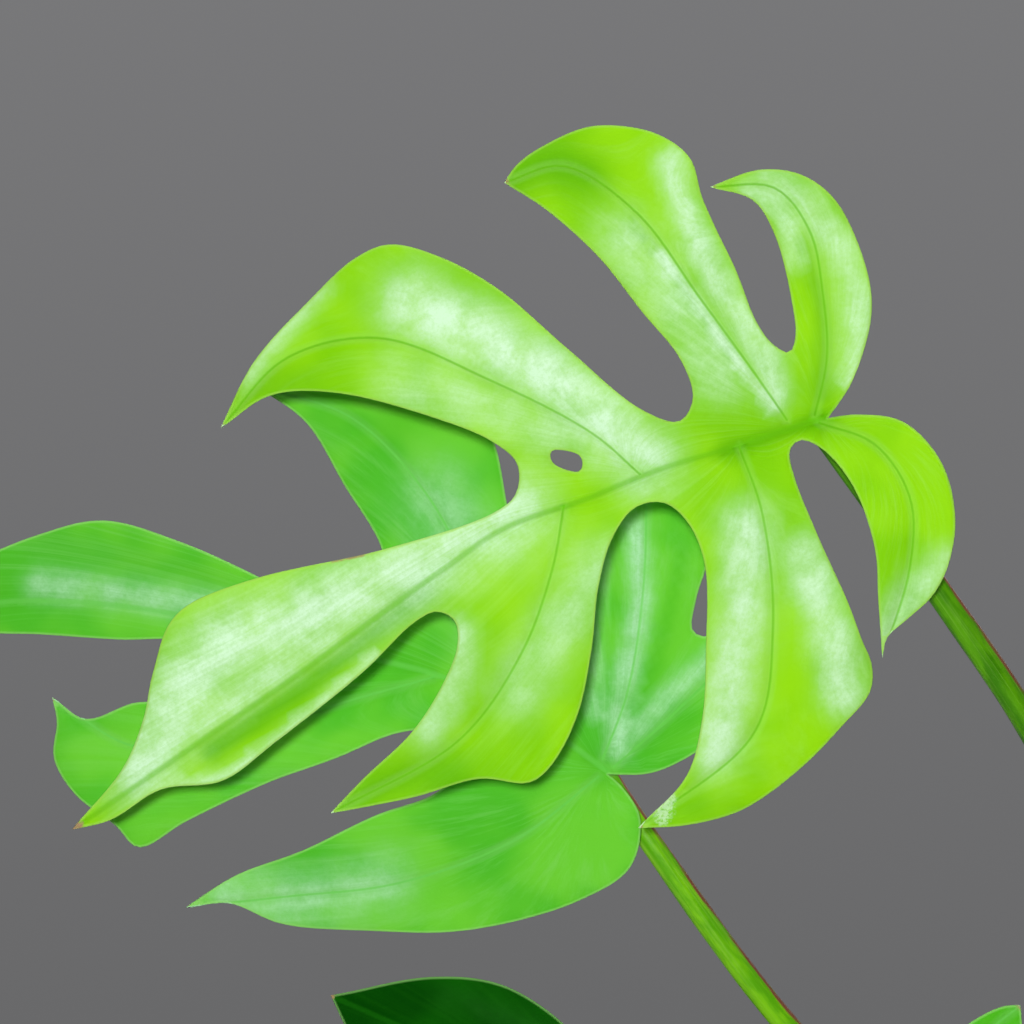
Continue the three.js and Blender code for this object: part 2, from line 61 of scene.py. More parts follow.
MATURE_LEAF = {
    "length": 190,
    "margin": [
        [(-8.5, -5), (-19, -16), (-23, -27), (-24, -41), (-20, -50), (-13, -55), (-2, -57)],
        [(-8.5, -50), (-9, -41), (-5, -26), (-2, -19), (0.8, -16.6), (3.2, -20), (4, -26), (2.5, -38),
         (1, -55), (-1, -65), (3, -73.5), (14, -81.5), (26, -83), (33, -82), (37, -80)],
        [(32, -70), (27, -55), (24.5, -40), (22.3, -27), (24, -18), (29, -15), (35, -21), (43, -41),
         (50, -60), (57.5, -72), (66, -80), (74, -81), (88, -77.5), (105, -71.5), (118, -62.6)],
        [(105, -63.5), (92, -57), (75, -41), (67, -31), (64.5, -24), (68, -18.3), (74, -17), (99, -21.5),
         (127, -29.5), (143, -31.5), (149, -29.5), (157, -22), (164, -14), (173, -7), (190, -0.5)],
        [(181, 1.6), (168, 1), (155, 5.8), (141, 4), (116, -0.4), (101, -4.5), (95.5, -4.2), (93, -0.5),
         (95, 4.5), (102, 10.5), (113, 16.5), (127, 20.3), (137.4, 23.6)],
        [(119, 29.3), (105, 32.5), (96, 38.5), (90.5, 37.8), (80, 31), (70, 19.5), (62, 8), (54, 0),
         (46.5, -3.3), (40.5, -1.2), (38, 5), (39, 14.5), (47.5, 31), (56, 45), (65, 54.5), (79.7, 59.5)],
        [(70, 64), (58, 67), (43, 65.3), (29.5, 61), (20.5, 57), (17.5, 52), (17, 46), (15.7, 36),
         (14.6, 20), (13, 8), (10.8, 2), (7.5, 1.2), (4.5, 5), (2.6, 16), (5, 30), (9.5, 40), (14.6, 52)],
        [(12, 48.6), (5.5, 46.8), (-1, 45), (-7.5, 40.5), (-13.5, 32), (-16.5, 20), (-13.5, 8.5),
         (-5.5, 2.3), (0, 0)],
    ],
    "hole": [(56.7, -22.9), (55.1, -22.4), (51.7, -19.2), (51.8, -17.4), (52.9, -16.1), (54, -16.1),
             (57.4, -19.6), (57.7, -21.5)],
    "midrib": [(0, -0.5), (19, -4), (38, -8), (55, -10), (74, -13), (90, -11.5), (107, -9.5),
               (130, -6.5), (155, -4), (190, -0.5)],
    "veins": [
        [(2, -2), (-6, -12), (-12, -25), (-16, -38), (-14, -50), (-2, -57)],
        [(8, -4), (10, -20), (12, -36), (15, -60), (24, -77), (37, -80)],
        [(42, -9), (47, -22), (61, -43), (78, -63), (98, -69), (118, -62.6)],
        [(2, 0), (-6, 10), (-7, 24), (0, 37), (14.6, 52)],
        [(20, -4), (23, 12), (33, 35), (47, 53), (79.7, 59.5)],
        [(60, -11), (69, 0), (84, 13), (105, 23), (137.4, 23.6)],
    ],
    # painted highlight strokes, which also read as a paler bloom
    "painted_sheen": [
        ([(-14, -52), (-18, -42), (-20, -30), (-17, -18), (-10, -7)], 4, 0.55),
        ([(-9, -52), (-13, -44), (-10, -34)], 2.5, 0.6),
        ([(-17, -22), (-12, -11), (-7, -5)], 1.1, 0.7),
        ([(3, -66), (6, -52), (7, -34), (6, -20), (8, -10)], 3.2, 0.75),
        ([(14.5, -50), (12.8, -34), (11, -18), (9.2, -8)], 1.1, 1.0),
        ([(20, -56), (17, -38), (16, -20)], 6, 0.5),
        ([(68, -66), (56, -48), (48, -34), (43, -20), (40, -11)], 6.5, 0.95),
        ([(78, -52), (64, -38), (54, -26)], 6, 0.4),
        ([(84, -79), (96, -75), (108, -70)], 2.6, 0.5),
        ([(70, -15), (100, -15), (122, -17), (142, -20), (156, -13), (170, -6)], 7.5, 0.9),
        ([(94, 2), (99, 10), (110, 17)], 4, 0.55),
        ([(98, -14), (120, -11.5), (142, -9), (168, -6)], 3.6, 0.75),
        ([(112, -1.8), (138, 3.4), (154, 5), (168, 0.6)], 1.3, 0.6),
        ([(60, 4), (74, 12), (88, 19)], 6, 0.4),
        ([(27, 12), (36, 27), (47, 41), (57, 52)], 5, 0.85),
        ([(19, 24), (22, 40), (26, 55)], 4.2, 0.85),
        ([(-7, 40), (3, 43), (12, 48)], 3.5, 0.6),
    ],
    # painted shade in the valleys of folds and at the stalk's join, and deeper tone near the lobe tips
    "deep": [
        ([(37, -80), (28, -80), (21, -73)], 6, 0.9),
        ([(118, -62.6), (106, -65), (96, -62)], 5, 0.6),
        ([(137, 23.6), (122, 24), (110, 30)], 6.5, 0.8),
        ([(79, 59), (66, 61)], 3.5, 0.5),
        ([(96, -9), (112, -6.2), (132, -3), (154, -1)], 2.8, 0.95),
        ([(0, 0), (9, -2), (24, -4.5)], 1.8, 0.7),
        ([(-13, -36), (-9, -20), (-1, -5)], 1.8, 0.5),
        ([(17, -58), (14, -40), (12, -22)], 1.2, 0.6),
        ([(14.6, 52), (4, 42)], 3, 0.4),
    ],
    "scars": [([(71, 57), (74, 60)], 2.2, 1.0), ([(57, 55), (57.4, 55.6)], 0.6, 0.9)],
    "dry": [([(188.6, -0.8), (190, -0.5)], 1.6, 1.0), ([(103, -23.0), (110, -25.2)], 0.9, 0.9)],
}

CLIMBING_LEAF = {
    "length": 168,
    "margin": [
        [(-9.9, -3), (-18.5, -10), (-27, -21), (-32, -35), (-27, -55)],
        [(-22.5, -45), (-15.5, -37), (-11.5, -37.5), (-10.6, -45), (-11, -56), (-5, -70), (8, -75)],
        [(13, -64), (18, -50), (18.5, -36), (22.5, -30), (28, -35), (37.5, -56), (44, -70), (55, -83),
         (75, -86), (92, -79), (101, -70)],
        [(88, -64.5), (75.6, -52), (64, -40), (61, -31), (66, -24), (77, -23), (91, -26.6),
         (110, -30.2), (129, -31), (142, -25), (157, -14), (168, 0)],
        [(155, 1.5), (137, -1.8), (119, -4.8), (104, -8), (96, -6), (95, 0), (101, 6), (112, 9),
         (122.7, 15.5), (131.4, 12.3)],
        [(129, 17.4), (127.7, 26), (121, 33), (110, 38), (103.6, 41.8), (94, 33.2), (78, 20.4),
         (63, 10.6), (50, 1.4), (40, -1), (34, 5), (38, 13), (51, 21.8), (66, 34), (80, 43.5),
         (89.6, 53.4)],
        [(80, 50), (67, 51.8), (50, 49.3), (24, 43), (0, 30), (-9.9, 19.6), (-9.5, 8), (-4, 2.2), (0, 0)],
    ],
    "midrib": [(0, -0.5), (18, -8), (43, -13.5), (82, -13.3), (108, -13.5), (139, -9.4), (168, 0)],
    "veins": [
        [(-1, -2), (-12, -18), (-22, -35), (-27, -55)],
        [(2, -3), (0, -20), (2, -45), (8, -75)],
        [(18, -9), (36, -30), (56, -54), (78, -68), (101, -70)],
        [(2, 1), (18, 20), (42, 36), (66, 45), (89.6, 53.4)],
        [(45, -13), (65, -2), (88, 12), (110, 19), (131.4, 12.3)],
    ],
    # painted highlight strokes, which also read as pale stripes along the veins
    "painted_sheen": [
        ([(-1, -6), (1, -18), (2, -42), (7, -58)], 2.6, 0.9),
        ([(-4, -12), (-10, -22), (-20, -36)], 2.6, 0.65),
        ([(6, -14), (12, -32), (14, -50)], 2.6, 0.55),
        ([(22, -14), (38, -34), (54, -54)], 8, 0.5),
        ([(45, 36), (63, 45), (80, 48)], 6, 0.6),
        ([(98, -17), (112, -16), (140, -13)], 3.5, 0.7),
    ],
    # darker, saturated green: painted shade beside the veins, and deeper tone near a lobe tip
    "deep": [
        ([(-3, -12), (-5, -34), (-5, -58)], 2, 0.55),
        ([(-6, -9), (-14, -15), (-25, -24)], 2.4, 0.4),
        ([(58, -76), (66, -70)], 5, 0.5),
    ],
}

YOUNG_LEAF = {
    "length": 130,
    "margin": [
        [(-12, -6), (-17, -20), (-12, -33), (4, -41), (22, -41)],
        [(18, -33), (18, -22), (22, -15.5), (28, -18.5), (36, -28), (46, -30.5), (60, -23)],
        [(55, -17), (55, -10.5), (61, -9.5), (70, -15.5), (80, -19.5), (95, -20.5), (110, -15), (130, 0)],
        [(118, 9), (104, 16), (86, 20), (70, 15), (59, 12.5), (54.5, 18), (60, 30), (72, 40)],
        [(56, 46), (42, 44), (32, 36), (26, 23), (20.5, 18.5), (16.5, 25), (16, 36), (20, 46)],
        [(4, 46), (-10, 36), (-16, 20), (-11, 6), (0, 0)],
    ],
    "midrib": [(0, 0), (40, -1.5), (80, -2), (130, 0)],
    "veins": [
        [(2, -1), (-2, -18), (6, -32), (22, -41)],
        [(22, -1), (32, -14), (44, -22), (60, -23)],
        [(2, 1), (-2, 18), (6, 36), (20, 46)],
        [(20, 0), (34, 20), (50, 34), (72, 40)],
    ],
    # painted highlight strokes
    "painted_sheen": [([(62, -13), (84, -14), (104, -12)], 4, 0.4), ([(8, 8), (30, 22)], 6, 0.35)],
}

FIRST_LEAF = {
    "length": 70,
    "margin": [
        [(-9, -7), (-10, -20), (2, -28), (20, -29), (42, -21), (58, -10), (70, 0)],
        [(57, 9), (42, 20), (21, 28), (3, 27), (-9, 19), (-8, 7), (0, 0)],
    ],
    "midrib": [(0, 0), (35, -0.5), (70, 0)],
    "veins": [
        [(1, -1), (4, -14), (20, -25)],
        [(14, -1), (28, -13), (46, -17)],
        [(1, 1), (4, 14), (20, 24)],
        [(14, 1), (28, 13), (46, 16)],
    ],
    # painted highlight strokes
    "painted_sheen": [([(6, -8), (24, -14), (44, -11)], 5, 0.5)],
}

# ---- The plant's habit, as in the CAD model --------------------------------------------------
# Places are measured from the middle of the soil's edge.

LEAVES = [
    {"shape": FIRST_LEAF, "length": 70, "node": 25, "base": (24, -64, 41), "heading": -62,
     "lean": 48, "turn": 18, "guides": [(6, -14, 35), (16, -40, 39)], "paint": "green",
     "gutter": 2.5, "droop": 4, "arch": 10, "crease": 0},
    {"shape": YOUNG_LEAF, "length": 130, "node": 39, "base": (-76.5, -1.7, 107.7), "heading": 154,
     "lean": 7, "turn": 0, "guides": [(-13, 5, 53), (-42, 12, 83)], "paint": "deep_green",
     "gutter": 3, "droop": 5, "arch": 8, "crease": 1.2},
    {"shape": MATURE_LEAF, "length": 142, "node": 53, "base": (-28.6, -51.6, 108.9), "heading": 30,
     "lean": 7, "turn": 0, "guides": [(-9, -12, 68), (-23, -30, 91)], "paint": "green",
     "mirrored": True, "gutter": 4, "droop": 12, "arch": 20, "crease": 2},
    {"shape": CLIMBING_LEAF, "length": 163.3, "node": 67, "base": (-128.1, -29.6, 224.8),
     "heading": 166.8, "lean": 7, "turn": 0, "paint": "green",
     "guides": [(-40, -10, 115), (-86.6, -21.9, 164.6), (-118.5, -25.8, 208.8)],
     "gutter": 3, "droop": 6, "arch": 10, "crease": 1.5},
    {"shape": CLIMBING_LEAF, "length": 150, "node": 129, "base": (72, 10, 211), "heading": -24,
     "lean": 16, "turn": 30, "guides": [(14, 10, 153), (44, 22, 187)], "paint": "green",
     "mirrored": True, "gutter": 4, "droop": 9, "arch": 16, "crease": 2},
    {"shape": MATURE_LEAF, "length": 190, "node": 179, "base": (-80.7, -57.5, 309.4),
     "heading": 208.75, "lean": 7, "turn": 0, "paint": "lime",
     "guides": [(-14, -16, 203), (-34, -35.9, 239), (-53.7, -42.5, 267.7)],
     "gutter": 5, "droop": 13, "arch": 22, "crease": 2.5},
]

STEM_BURIED = 42
STEM_RADIUS = 4.8
STEM_TIP = 3  # its radius where the rolled leaf comes out
STEM_TIP_LENGTH = 20
NODE_SWELLING = 1.2  # added to the stem's radius at each node
NODE_REACH = 3.2
# The ring that a fallen sheath leaves: height, distance above the node, and reach.
NODE_RINGS = [(0.35, 2.4, 0.55), (-0.3, 3.6, 0.7)]
STEM_CORKED = 26  # how far up from the soil the stem turns from cork to green
STEM_LINE = [(0, 0, -STEM_BURIED), (0, 0, 1), (-1.5, 1, 39), (1.5, -1, 67), (-1.5, 1, 129),
             (1, 0, 179), (0, 2, 224), (-1.5, 3, 251)]
TOP_NODE = 219
STALK_RADIUS = 2.6  # under the largest blade
STALK_THICKENING = 0.75
STALK_THICKENS_OVER = 45
STALK_SHEATH = 0.9  # added to the stalk's radius where it leaves the stem
SHEATH_LENGTH = 14
STALK_MEETS = (1.8, -0.8)  # on the blade's plan
STALK_END = 0.4  # below the blade's plan, besides the depth of its creases there
KNEE_DEPTH = 8  # the last stretch, which is square to the blade's plan
KNEE_BELOW = 9  # from the stalk's end to the middle of the knee's swelling
KNEE_REACH = 5
KNEE_SWELLING = 0.3
LINE_WAY = (0.82, -0.1, 0.56)  # the side of each stalk that has the brown-red line
ROOT_RADIUS = 1.3
ROOTS = [
    {"node": 67, "line": [(9, 16, 57), (17, 27, 29), (19, 32, 7), (19, 33, -16)]},
    {"node": 39, "line": [(-12, -9, 29), (-19, -17, 13), (-19, -16, -16)]},
    {"node": 129, "line": [(-8, 15, 115), (-17, 30, 79), (-20, 38, 39), (-19, 40, 9), (-19, 41, -16)]},
]
NEW_LEAF_LENGTH = 108
NEW_LEAF_RADIUS = 4.6

DRAIN_HOLES = 4
DRAIN_RADIUS = 5
DRAIN_CIRCLE = 26  # radius on which the drain holes lie
POT_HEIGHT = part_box("pot")[1].z / MM
SOIL_EDGE = POT_HEIGHT - 14
SOIL_FOOT = 8.3
SOIL_CROWN = 3  # how much higher the middle lies
SOIL_LUMPS = [(1.5, 14, 2), (0.8, 5, 7), (0.45, 2.2, 11)]  # height, size, seed
SOIL_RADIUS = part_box("soil")[1].x / MM
RIM_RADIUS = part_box("pot")[1].x / MM

# ---- Colours, linear -------------------------------------------------------------------------

# pale: painted highlight and underside veins; deep: painted shade in folds and deeper tone at tips
PAINTS = {
    "lime": {
        "body": (0.27, 0.67, 0.003), "dark": (0.20, 0.58, 0.001), "pale": (0.60, 0.87, 0.58),
        "deep": (0.11, 0.44, 0.001), "vein": (0.13, 0.47, 0.002), "flank": (0.40, 0.76, 0.16),
        "margin": (0.33, 0.64, 0.08), "under": (0.24, 0.50, 0.10), "gloss": 0.07, "streaks": 0.18},
    "green": {
        "body": (0.13, 0.54, 0.024), "dark": (0.065, 0.44, 0.014), "pale": (0.38, 0.70, 0.40),
        "deep": (0.06, 0.42, 0.004), "vein": (0.13, 0.54, 0.07), "flank": (0.25, 0.63, 0.17),
        "margin": (0.26, 0.62, 0.14), "under": (0.18, 0.42, 0.11), "gloss": 0.1, "streaks": 0.25},
    "deep_green": {
        "body": (0.003, 0.085, 0.0008), "dark": (0.001, 0.05, 0.0004), "pale": (0.01, 0.12, 0.006),
        "deep": (0.001, 0.04, 0.0004), "vein": (0.006, 0.11, 0.002), "flank": (0.008, 0.11, 0.002),
        "margin": (0.2, 0.46, 0.12), "under": (0.09, 0.26, 0.06), "gloss": 0.015, "streaks": 0.3},
}
STALK_SKINS = {  # the material's name, its young and its old colour
    # the front leaf's stalk is darker all over: painted shade for the shadow of the front blade
    "lime": ("stalk_painted_shade", (0.085, 0.30, 0.002), (0.04, 0.19, 0.001)),
    "green": ("stalk_skin", (0.17, 0.48, 0.004), (0.085, 0.34, 0.002)),
}
SCAR = (0.66, 0.84, 0.62)
DRY = (0.36, 0.24, 0.12)
STALK_STREAK = (0.34, 0.56, 0.10)
STALK_LINE = (0.20, 0.07, 0.035)
STALK_KNEE = (0.36, 0.56, 0.26)
STEM_GREEN = (0.075, 0.22, 0.02)
STEM_STREAK = (0.17, 0.36, 0.05)
STEM_RING = (0.30, 0.22, 0.12)
STEM_CORK = (0.34, 0.32, 0.2)
ROOT_DARK = (0.12, 0.065, 0.03)
ROOT_TAN = (0.34, 0.23, 0.12)
ROOT_RING = (0.45, 0.36, 0.22)
CLAY_DARK = (0.42, 0.145, 0.062)
CLAY_LIGHT = (0.56, 0.22, 0.105)
CLAY_TURNING = (0.62, 0.29, 0.16)
CLAY_GRAIN = (0.26, 0.09, 0.045)
CLAY_BLOOM = (0.74, 0.62, 0.52)
CLAY_DAMP = (0.17, 0.062, 0.03)
SOIL_COLOURS = (0.022, 0.014, 0.009), (0.06, 0.038, 0.024)
CARD = (0.62, 0.62, 0.60)
CARD_LIGHT = (0.70, 0.70, 0.68)
LOOSE = [  # piece, material, dark, light, pattern scale, roughness, count, sizes, height share, jag, seed
    ("soil_crumbs", "crumb", (0.03, 0.018, 0.011), (0.075, 0.045, 0.027), 300, 0.95,
     340, (0.9, 2.6), 0.75, 0.7, 3),
    ("bark_chips", "bark", (0.09, 0.042, 0.02), (0.24, 0.13, 0.065), 220, 0.85,
     52, (3.5, 7.5), 0.32, 0.6, 4),
    ("perlite", "perlite", (0.62, 0.6, 0.56), (0.85, 0.84, 0.8), 400, 0.9,
     70, (0.9, 2.2), 0.8, 0.5, 5),
]

# ---- Lines and fields on a plan --------------------------------------------------------------

SPAN_STEPS = 24  # steps of a smooth curve between two given points


def bell(away, width):
    """1 in the middle, and about 0.37 a width away from it."""
    return np.exp(-((away / width) ** 2))


def around(sides):
    return np.arange(sides) * 2 * math.pi / sides


def run_of(line):
    """How far along a line each of its points is."""
    return np.concatenate([[0], np.cumsum(np.linalg.norm(np.diff(line, axis=0), axis=1))])


def smooth(points, step, closed=False):
    """Points about a step apart on the centripetal Catmull-Rom curve through the given ones."""
    given = np.array(points, float)
    if closed:
        ring = np.vstack([given[-1:], given, given[:2]])
    else:
        ring = np.vstack([2 * given[:1] - given[1:2], given, 2 * given[-1:] - given[-2:-1]])
    pieces = []
    t = np.linspace(0, 1, SPAN_STEPS, endpoint=False)[:, None]
    for a, b, c, d in zip(ring, ring[1:], ring[2:], ring[3:]):
        before, here, after = (max(np.linalg.norm(v) ** 0.5, 1e-4) for v in (b - a, c - b, d - c))
        leaving = ((b - a) / before - (c - a) / (before + here) + (c - b) / here) * here
        coming = ((c - b) / here - (d - b) / (here + after) + (d - c) / after) * here
        pieces.append((2 * t**3 - 3 * t**2 + 1) * b + (t**3 - 2 * t**2 + t) * leaving
                      + (3 * t**2 - 2 * t**3) * c + (t**3 - t**2) * coming)
    pieces.append(given[:1] if closed else given[-1:])
    fine = np.vstack(pieces)
    run = run_of(fine)
    at = np.linspace(0, run[-1], max(2, round(run[-1] / step)) + 1)
    return np.stack([np.interp(at, run, fine[:, k]) for k in range(fine.shape[1])], 1)


def distance(line, xy):
    """How far each point of xy is from a line of points."""
    start, along = line[:-1], np.diff(line, axis=0)
    share = ((xy[:, None] - start) * along).sum(2) / np.maximum((along**2).sum(1), 1e-9)
    nearest = start + np.clip(share, 0, 1)[..., None] * along
    return np.linalg.norm(xy[:, None] - nearest, axis=2).min(1)


def inside(loop, xy):
    ahead = np.roll(loop, -1, 0)
    x, y = xy[:, :1], xy[:, 1:]
    crosses = (loop[:, 1] > y) != (ahead[:, 1] > y)
    rise = np.where(loop[:, 1] == ahead[:, 1], 1, ahead[:, 1] - loop[:, 1])
    at = loop[:, 0] + (y - loop[:, 1]) / rise * (ahead[:, 0] - loop[:, 0])
    return (crosses & (x < at)).sum(1) % 2 == 1


def strokes(marks, xy):
    """The strength of a set of soft strokes at each point."""
    field = np.zeros(len(xy))
    for points, half_width, strength in marks:
        field = np.maximum(field, strength * bell(distance(smooth(points, 2), xy), half_width))
    return field


def wander(xy, size, seed):
    """Smooth noise from about -1 to 1 with features of the given size."""
    return np.array([noise.noise((x / size, y / size, seed)) for x, y in xy])


# ---- Objects ---------------------------------------------------------------------------------


def build(name, points, faces, material, fields=None, slot=None, replaces=()):
    """An object from points in millimetres, with a value or vector per point for each field."""
    mesh = bpy.data.meshes.new(name)
    mesh.from_pydata((np.asarray(points) * MM).tolist(), [], faces)
    for field, values in (fields or {}).items():
        values = np.asarray(values, np.float32)
        kind, key = ("FLOAT", "value") if values.ndim == 1 else ("FLOAT_VECTOR", "vector")
        mesh.attributes.new(field, kind, "POINT").data.foreach_set(key, values.ravel())
    mesh.polygons.foreach_set("use_smooth", [True] * len(mesh.polygons))
    mesh.materials.append(material)
    mesh.validate()
    mesh.update()
    piece = bpy.data.objects.new(name, mesh)
    bpy.context.scene.collection.objects.link(piece)
    if slot:
        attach(piece, "root")
    if replaces:
        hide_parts(*replaces)
    return piece


# ---- Node materials --------------------------------------------------------------------------


class Nodes:
    """Adds nodes to a tree in small steps, each of which gives an output."""

    def __init__(self, tree):
        self.tree = tree

    def put(self, socket, value):
        if isinstance(value, bpy.types.NodeSocket):
            self.tree.links.new(value, socket)
        elif isinstance(value, tuple) and socket.type == "RGBA":
            socket.default_value = (*value, 1)
        else:
            socket.default_value = value

    def field(self, name, output="Fac"):
        node = self.tree.nodes.new("ShaderNodeAttribute")
        node.attribute_name = name
        return node.outputs[output]

    def place(self, output="Object"):
        return self.tree.nodes.new("ShaderNodeTexCoord").outputs[output]

    def stretched(self, vector, scale):
        node = self.tree.nodes.new("ShaderNodeVectorMath")
        node.operation = "MULTIPLY"
        self.put(node.inputs[0], vector)
        node.inputs[1].default_value = scale
        return node.outputs[0]

    def noise(self, vector, scale, detail=3.0, roughness=0.55):
        """scale is one number, or one for each axis."""
        if isinstance(scale, tuple):
            vector = self.stretched(vector, scale)
            scale = 1
        node = self.tree.nodes.new("ShaderNodeTexNoise")
        self.put(node.inputs["Vector"], vector)
        node.inputs["Scale"].default_value = scale
        node.inputs["Detail"].default_value = detail
        node.inputs["Roughness"].default_value = roughness
        return node.outputs["Fac"]

    def step(self, value, low, high, bottom=0.0, top=1.0, interpolation="SMOOTHSTEP"):
        """A change from bottom, below low, to top, above high."""
        node = self.tree.nodes.new("ShaderNodeMapRange")
        node.interpolation_type = interpolation
        for socket, given in zip(("Value", "From Min", "From Max", "To Min", "To Max"),
                                 (value, low, high, bottom, top)):
            self.put(node.inputs[socket], given)
        return node.outputs["Result"]

    def math(self, operation, a, b):
        node = self.tree.nodes.new("ShaderNodeMath")
        node.operation = operation
        self.put(node.inputs[0], a)
        self.put(node.inputs[1], b)
        return node.outputs[0]

    def add(self, a, b):
        return self.math("ADD", a, b)

    def times(self, a, b):
        return self.math("MULTIPLY", a, b)

    def mix(self, factor, a, b):
        node = self.tree.nodes.new("ShaderNodeMix")
        node.data_type = "RGBA"
        self.put(node.inputs["Factor"], factor)
        self.put(node.inputs["A"], a)
        self.put(node.inputs["B"], b)
        return node.outputs["Result"]

    def tint(self, colour, paint, value, *limits):
        """The colour, with paint over it as far as step says."""
        return self.mix(self.step(value, *limits), colour, paint)

    def bump(self, height, strength, depth):
        node = self.tree.nodes.new("ShaderNodeBump")
        node.inputs["Strength"].default_value = strength
        node.inputs["Distance"].default_value = depth
        self.put(node.inputs["Height"], height)
        return node.outputs["Normal"]


class Surface(Nodes):
    """A Principled material."""

    def __init__(self, name, gloss):
        self.material = bpy.data.materials.new(name)
        self.material.use_nodes = True
        super().__init__(self.material.node_tree)
        self.shader = self.tree.nodes["Principled BSDF"]
        self.shader.inputs["Specular IOR Level"].default_value = gloss

    def finish(self, colour, roughness=None, normal=None):
        self.put(self.shader.inputs["Base Color"], colour)
        if roughness is not None:
            self.put(self.shader.inputs["Roughness"], roughness)
        if normal is not None:
            self.put(self.shader.inputs["Normal"], normal)
        return self.material


def leaf_material(name, paint):
    """Reads the fields that make_blade gives: plan, grain, midrib, vein, edge, the marks and face."""
    leaf = Surface(name, paint["gloss"])
    plan = leaf.field("plan", "Vector")
    grain = leaf.field("grain", "Vector")
    broad = leaf.noise(plan, (0.035, 0.035, 1), 2)
    streak = leaf.noise(grain, (11, 0.05, 1), 5, 0.7)
    cloud = leaf.noise(plan, (0.14, 0.14, 1), 3, 0.55)
    speckle = leaf.noise(plan, (1.1, 1.1, 1), 4, 0.75)

    colour = leaf.tint(paint["dark"], paint["body"], broad, 0.38, 0.62)
    colour = leaf.tint(colour, paint["flank"], streak, 0.45, 0.75, 0, paint["streaks"])
    # deep: painted shade in the valleys of folds, with deeper tone near the lobe tips
    colour = leaf.mix(leaf.field("deep"), colour, paint["deep"])
    # painted highlight: the sheen strokes mix in the pale colour, broken up by cloud, speckle and streaks
    painted_sheen = leaf.field("painted_sheen")
    ragged = leaf.times(painted_sheen, leaf.step(cloud, 0.3, 0.65, 0.55, 1.12))
    ragged = leaf.times(ragged, leaf.step(speckle, 0.3, 0.65, 0.78, 1.08))
    lined = leaf.times(ragged, leaf.step(streak, 0.35, 0.65, 0.82, 1.1))
    colour = leaf.mix(lined, colour, paint["pale"])
    vein = leaf.field("vein")
    colour = leaf.tint(colour, paint["flank"], vein, 0.5, 1.8, 0.18, 0)
    colour = leaf.tint(colour, paint["vein"], vein, 0.05, 0.45, 0.75, 0)
    colour = leaf.tint(colour, paint["vein"], leaf.field("midrib"), 0.2, 1.0, 0.6, 0)
    colour = leaf.tint(colour, paint["margin"], leaf.field("edge"), 0.1, 0.6, 0.6, 0)
    scar = leaf.times(leaf.field("scar"), leaf.step(speckle, 0.35, 0.6, 0.5, 1.2))
    colour = leaf.tint(colour, SCAR, scar, 0.3, 0.9, 0, 0.55)
    dry = leaf.times(leaf.field("dry"), leaf.step(speckle, 0.3, 0.6, 0.6, 1.2))
    colour = leaf.tint(colour, DRY, dry, 0.3, 0.75)

    below = leaf.tint(paint["under"], paint["flank"], streak, 0.35, 0.7)
    below = leaf.tint(below, paint["pale"], vein, 0.2, 1.3, 0.6, 0)
    face = leaf.field("face")
    colour = leaf.mix(face, below, colour)

    rough = leaf.step(painted_sheen, 0, 0.8, 0.68, 0.36)
    rough = leaf.add(rough, leaf.step(face, 0, 1, 0.2, 0))
    rough = leaf.add(rough, leaf.step(speckle, 0.3, 0.7, -0.04, 0.06))
    relief = leaf.add(leaf.times(streak, 0.3), leaf.times(speckle, 0.6))
    return leaf.finish(colour, rough, leaf.bump(relief, 0.35, 0.0004))


def stalk_material(name, young, old):
    """Smooth green with fine lengthwise streaks, and a thin brown-red line along one side."""
    stalk = Surface(name, 0.1)
    skin = stalk.field("skin", "Vector")  # round the stalk, along it, and 0
    streak = stalk.noise(skin, (3.2, 0.02, 1), 4, 0.7)
    patch = stalk.noise(skin, (0.5, 0.09, 1), 3)
    colour = stalk.tint(old, young, patch, 0.35, 0.65)
    colour = stalk.tint(colour, STALK_STREAK, streak, 0.45, 0.75, 0, 0.25)
    line = stalk.times(stalk.field("line"), stalk.step(patch, 0.3, 0.6, 0.5, 1.1))
    colour = stalk.tint(colour, STALK_LINE, line, 0.35, 0.8)
    colour = stalk.tint(colour, STALK_KNEE, stalk.field("knee"), 0.3, 0.8, 0, 0.55)
    rough = stalk.step(streak, 0.3, 0.7, 0.36, 0.5)
    return stalk.finish(colour, rough, stalk.bump(streak, 0.2, 0.0004))


def stem_material():
    """Green between the nodes, with pale lengthwise streaks; tan and corky at the rings and foot."""
    stem = Surface("stem_skin", 0.4)
    skin = stem.field("skin", "Vector")
    streak = stem.noise(skin, (2.5, 0.03, 1), 4, 0.7)
    cork = stem.noise(skin, (1.6, 0.5, 1), 5, 0.7)
    colour = stem.tint(STEM_GREEN, STEM_STREAK, streak, 0.35, 0.7)
    ring = stem.add(stem.field("ring"), stem.step(cork, 0.3, 0.7, -0.25, 0.25))
    colour = stem.tint(colour, STEM_RING, ring, 0.35, 0.8, 0, 0.9)
    colour = stem.tint(colour, STEM_CORK, cork, 0.62, 0.74, 0, 0.5)
    rough = stem.step(ring, 0.2, 0.9, 0.42, 0.8)
    return stem.finish(colour, rough, stem.bump(stem.add(streak, cork), 0.5, 0.0006))


def root_material():
    root = Surface("root_skin", 0.3)
    skin = root.field("skin", "Vector")
    cork = root.noise(skin, (1.2, 0.35, 1), 5, 0.7)
    rings = root.noise(skin, (0.2, 1.6, 1), 3, 0.6)
    colour = root.tint(ROOT_DARK, ROOT_TAN, cork, 0.3, 0.7)
    colour = root.tint(colour, ROOT_RING, rings, 0.55, 0.75, 0, 0.6)
    return root.finish(colour, root.step(rings, 0.3, 0.7, 0.75, 0.92),
                       root.bump(root.add(cork, rings), 0.7, 0.0006))


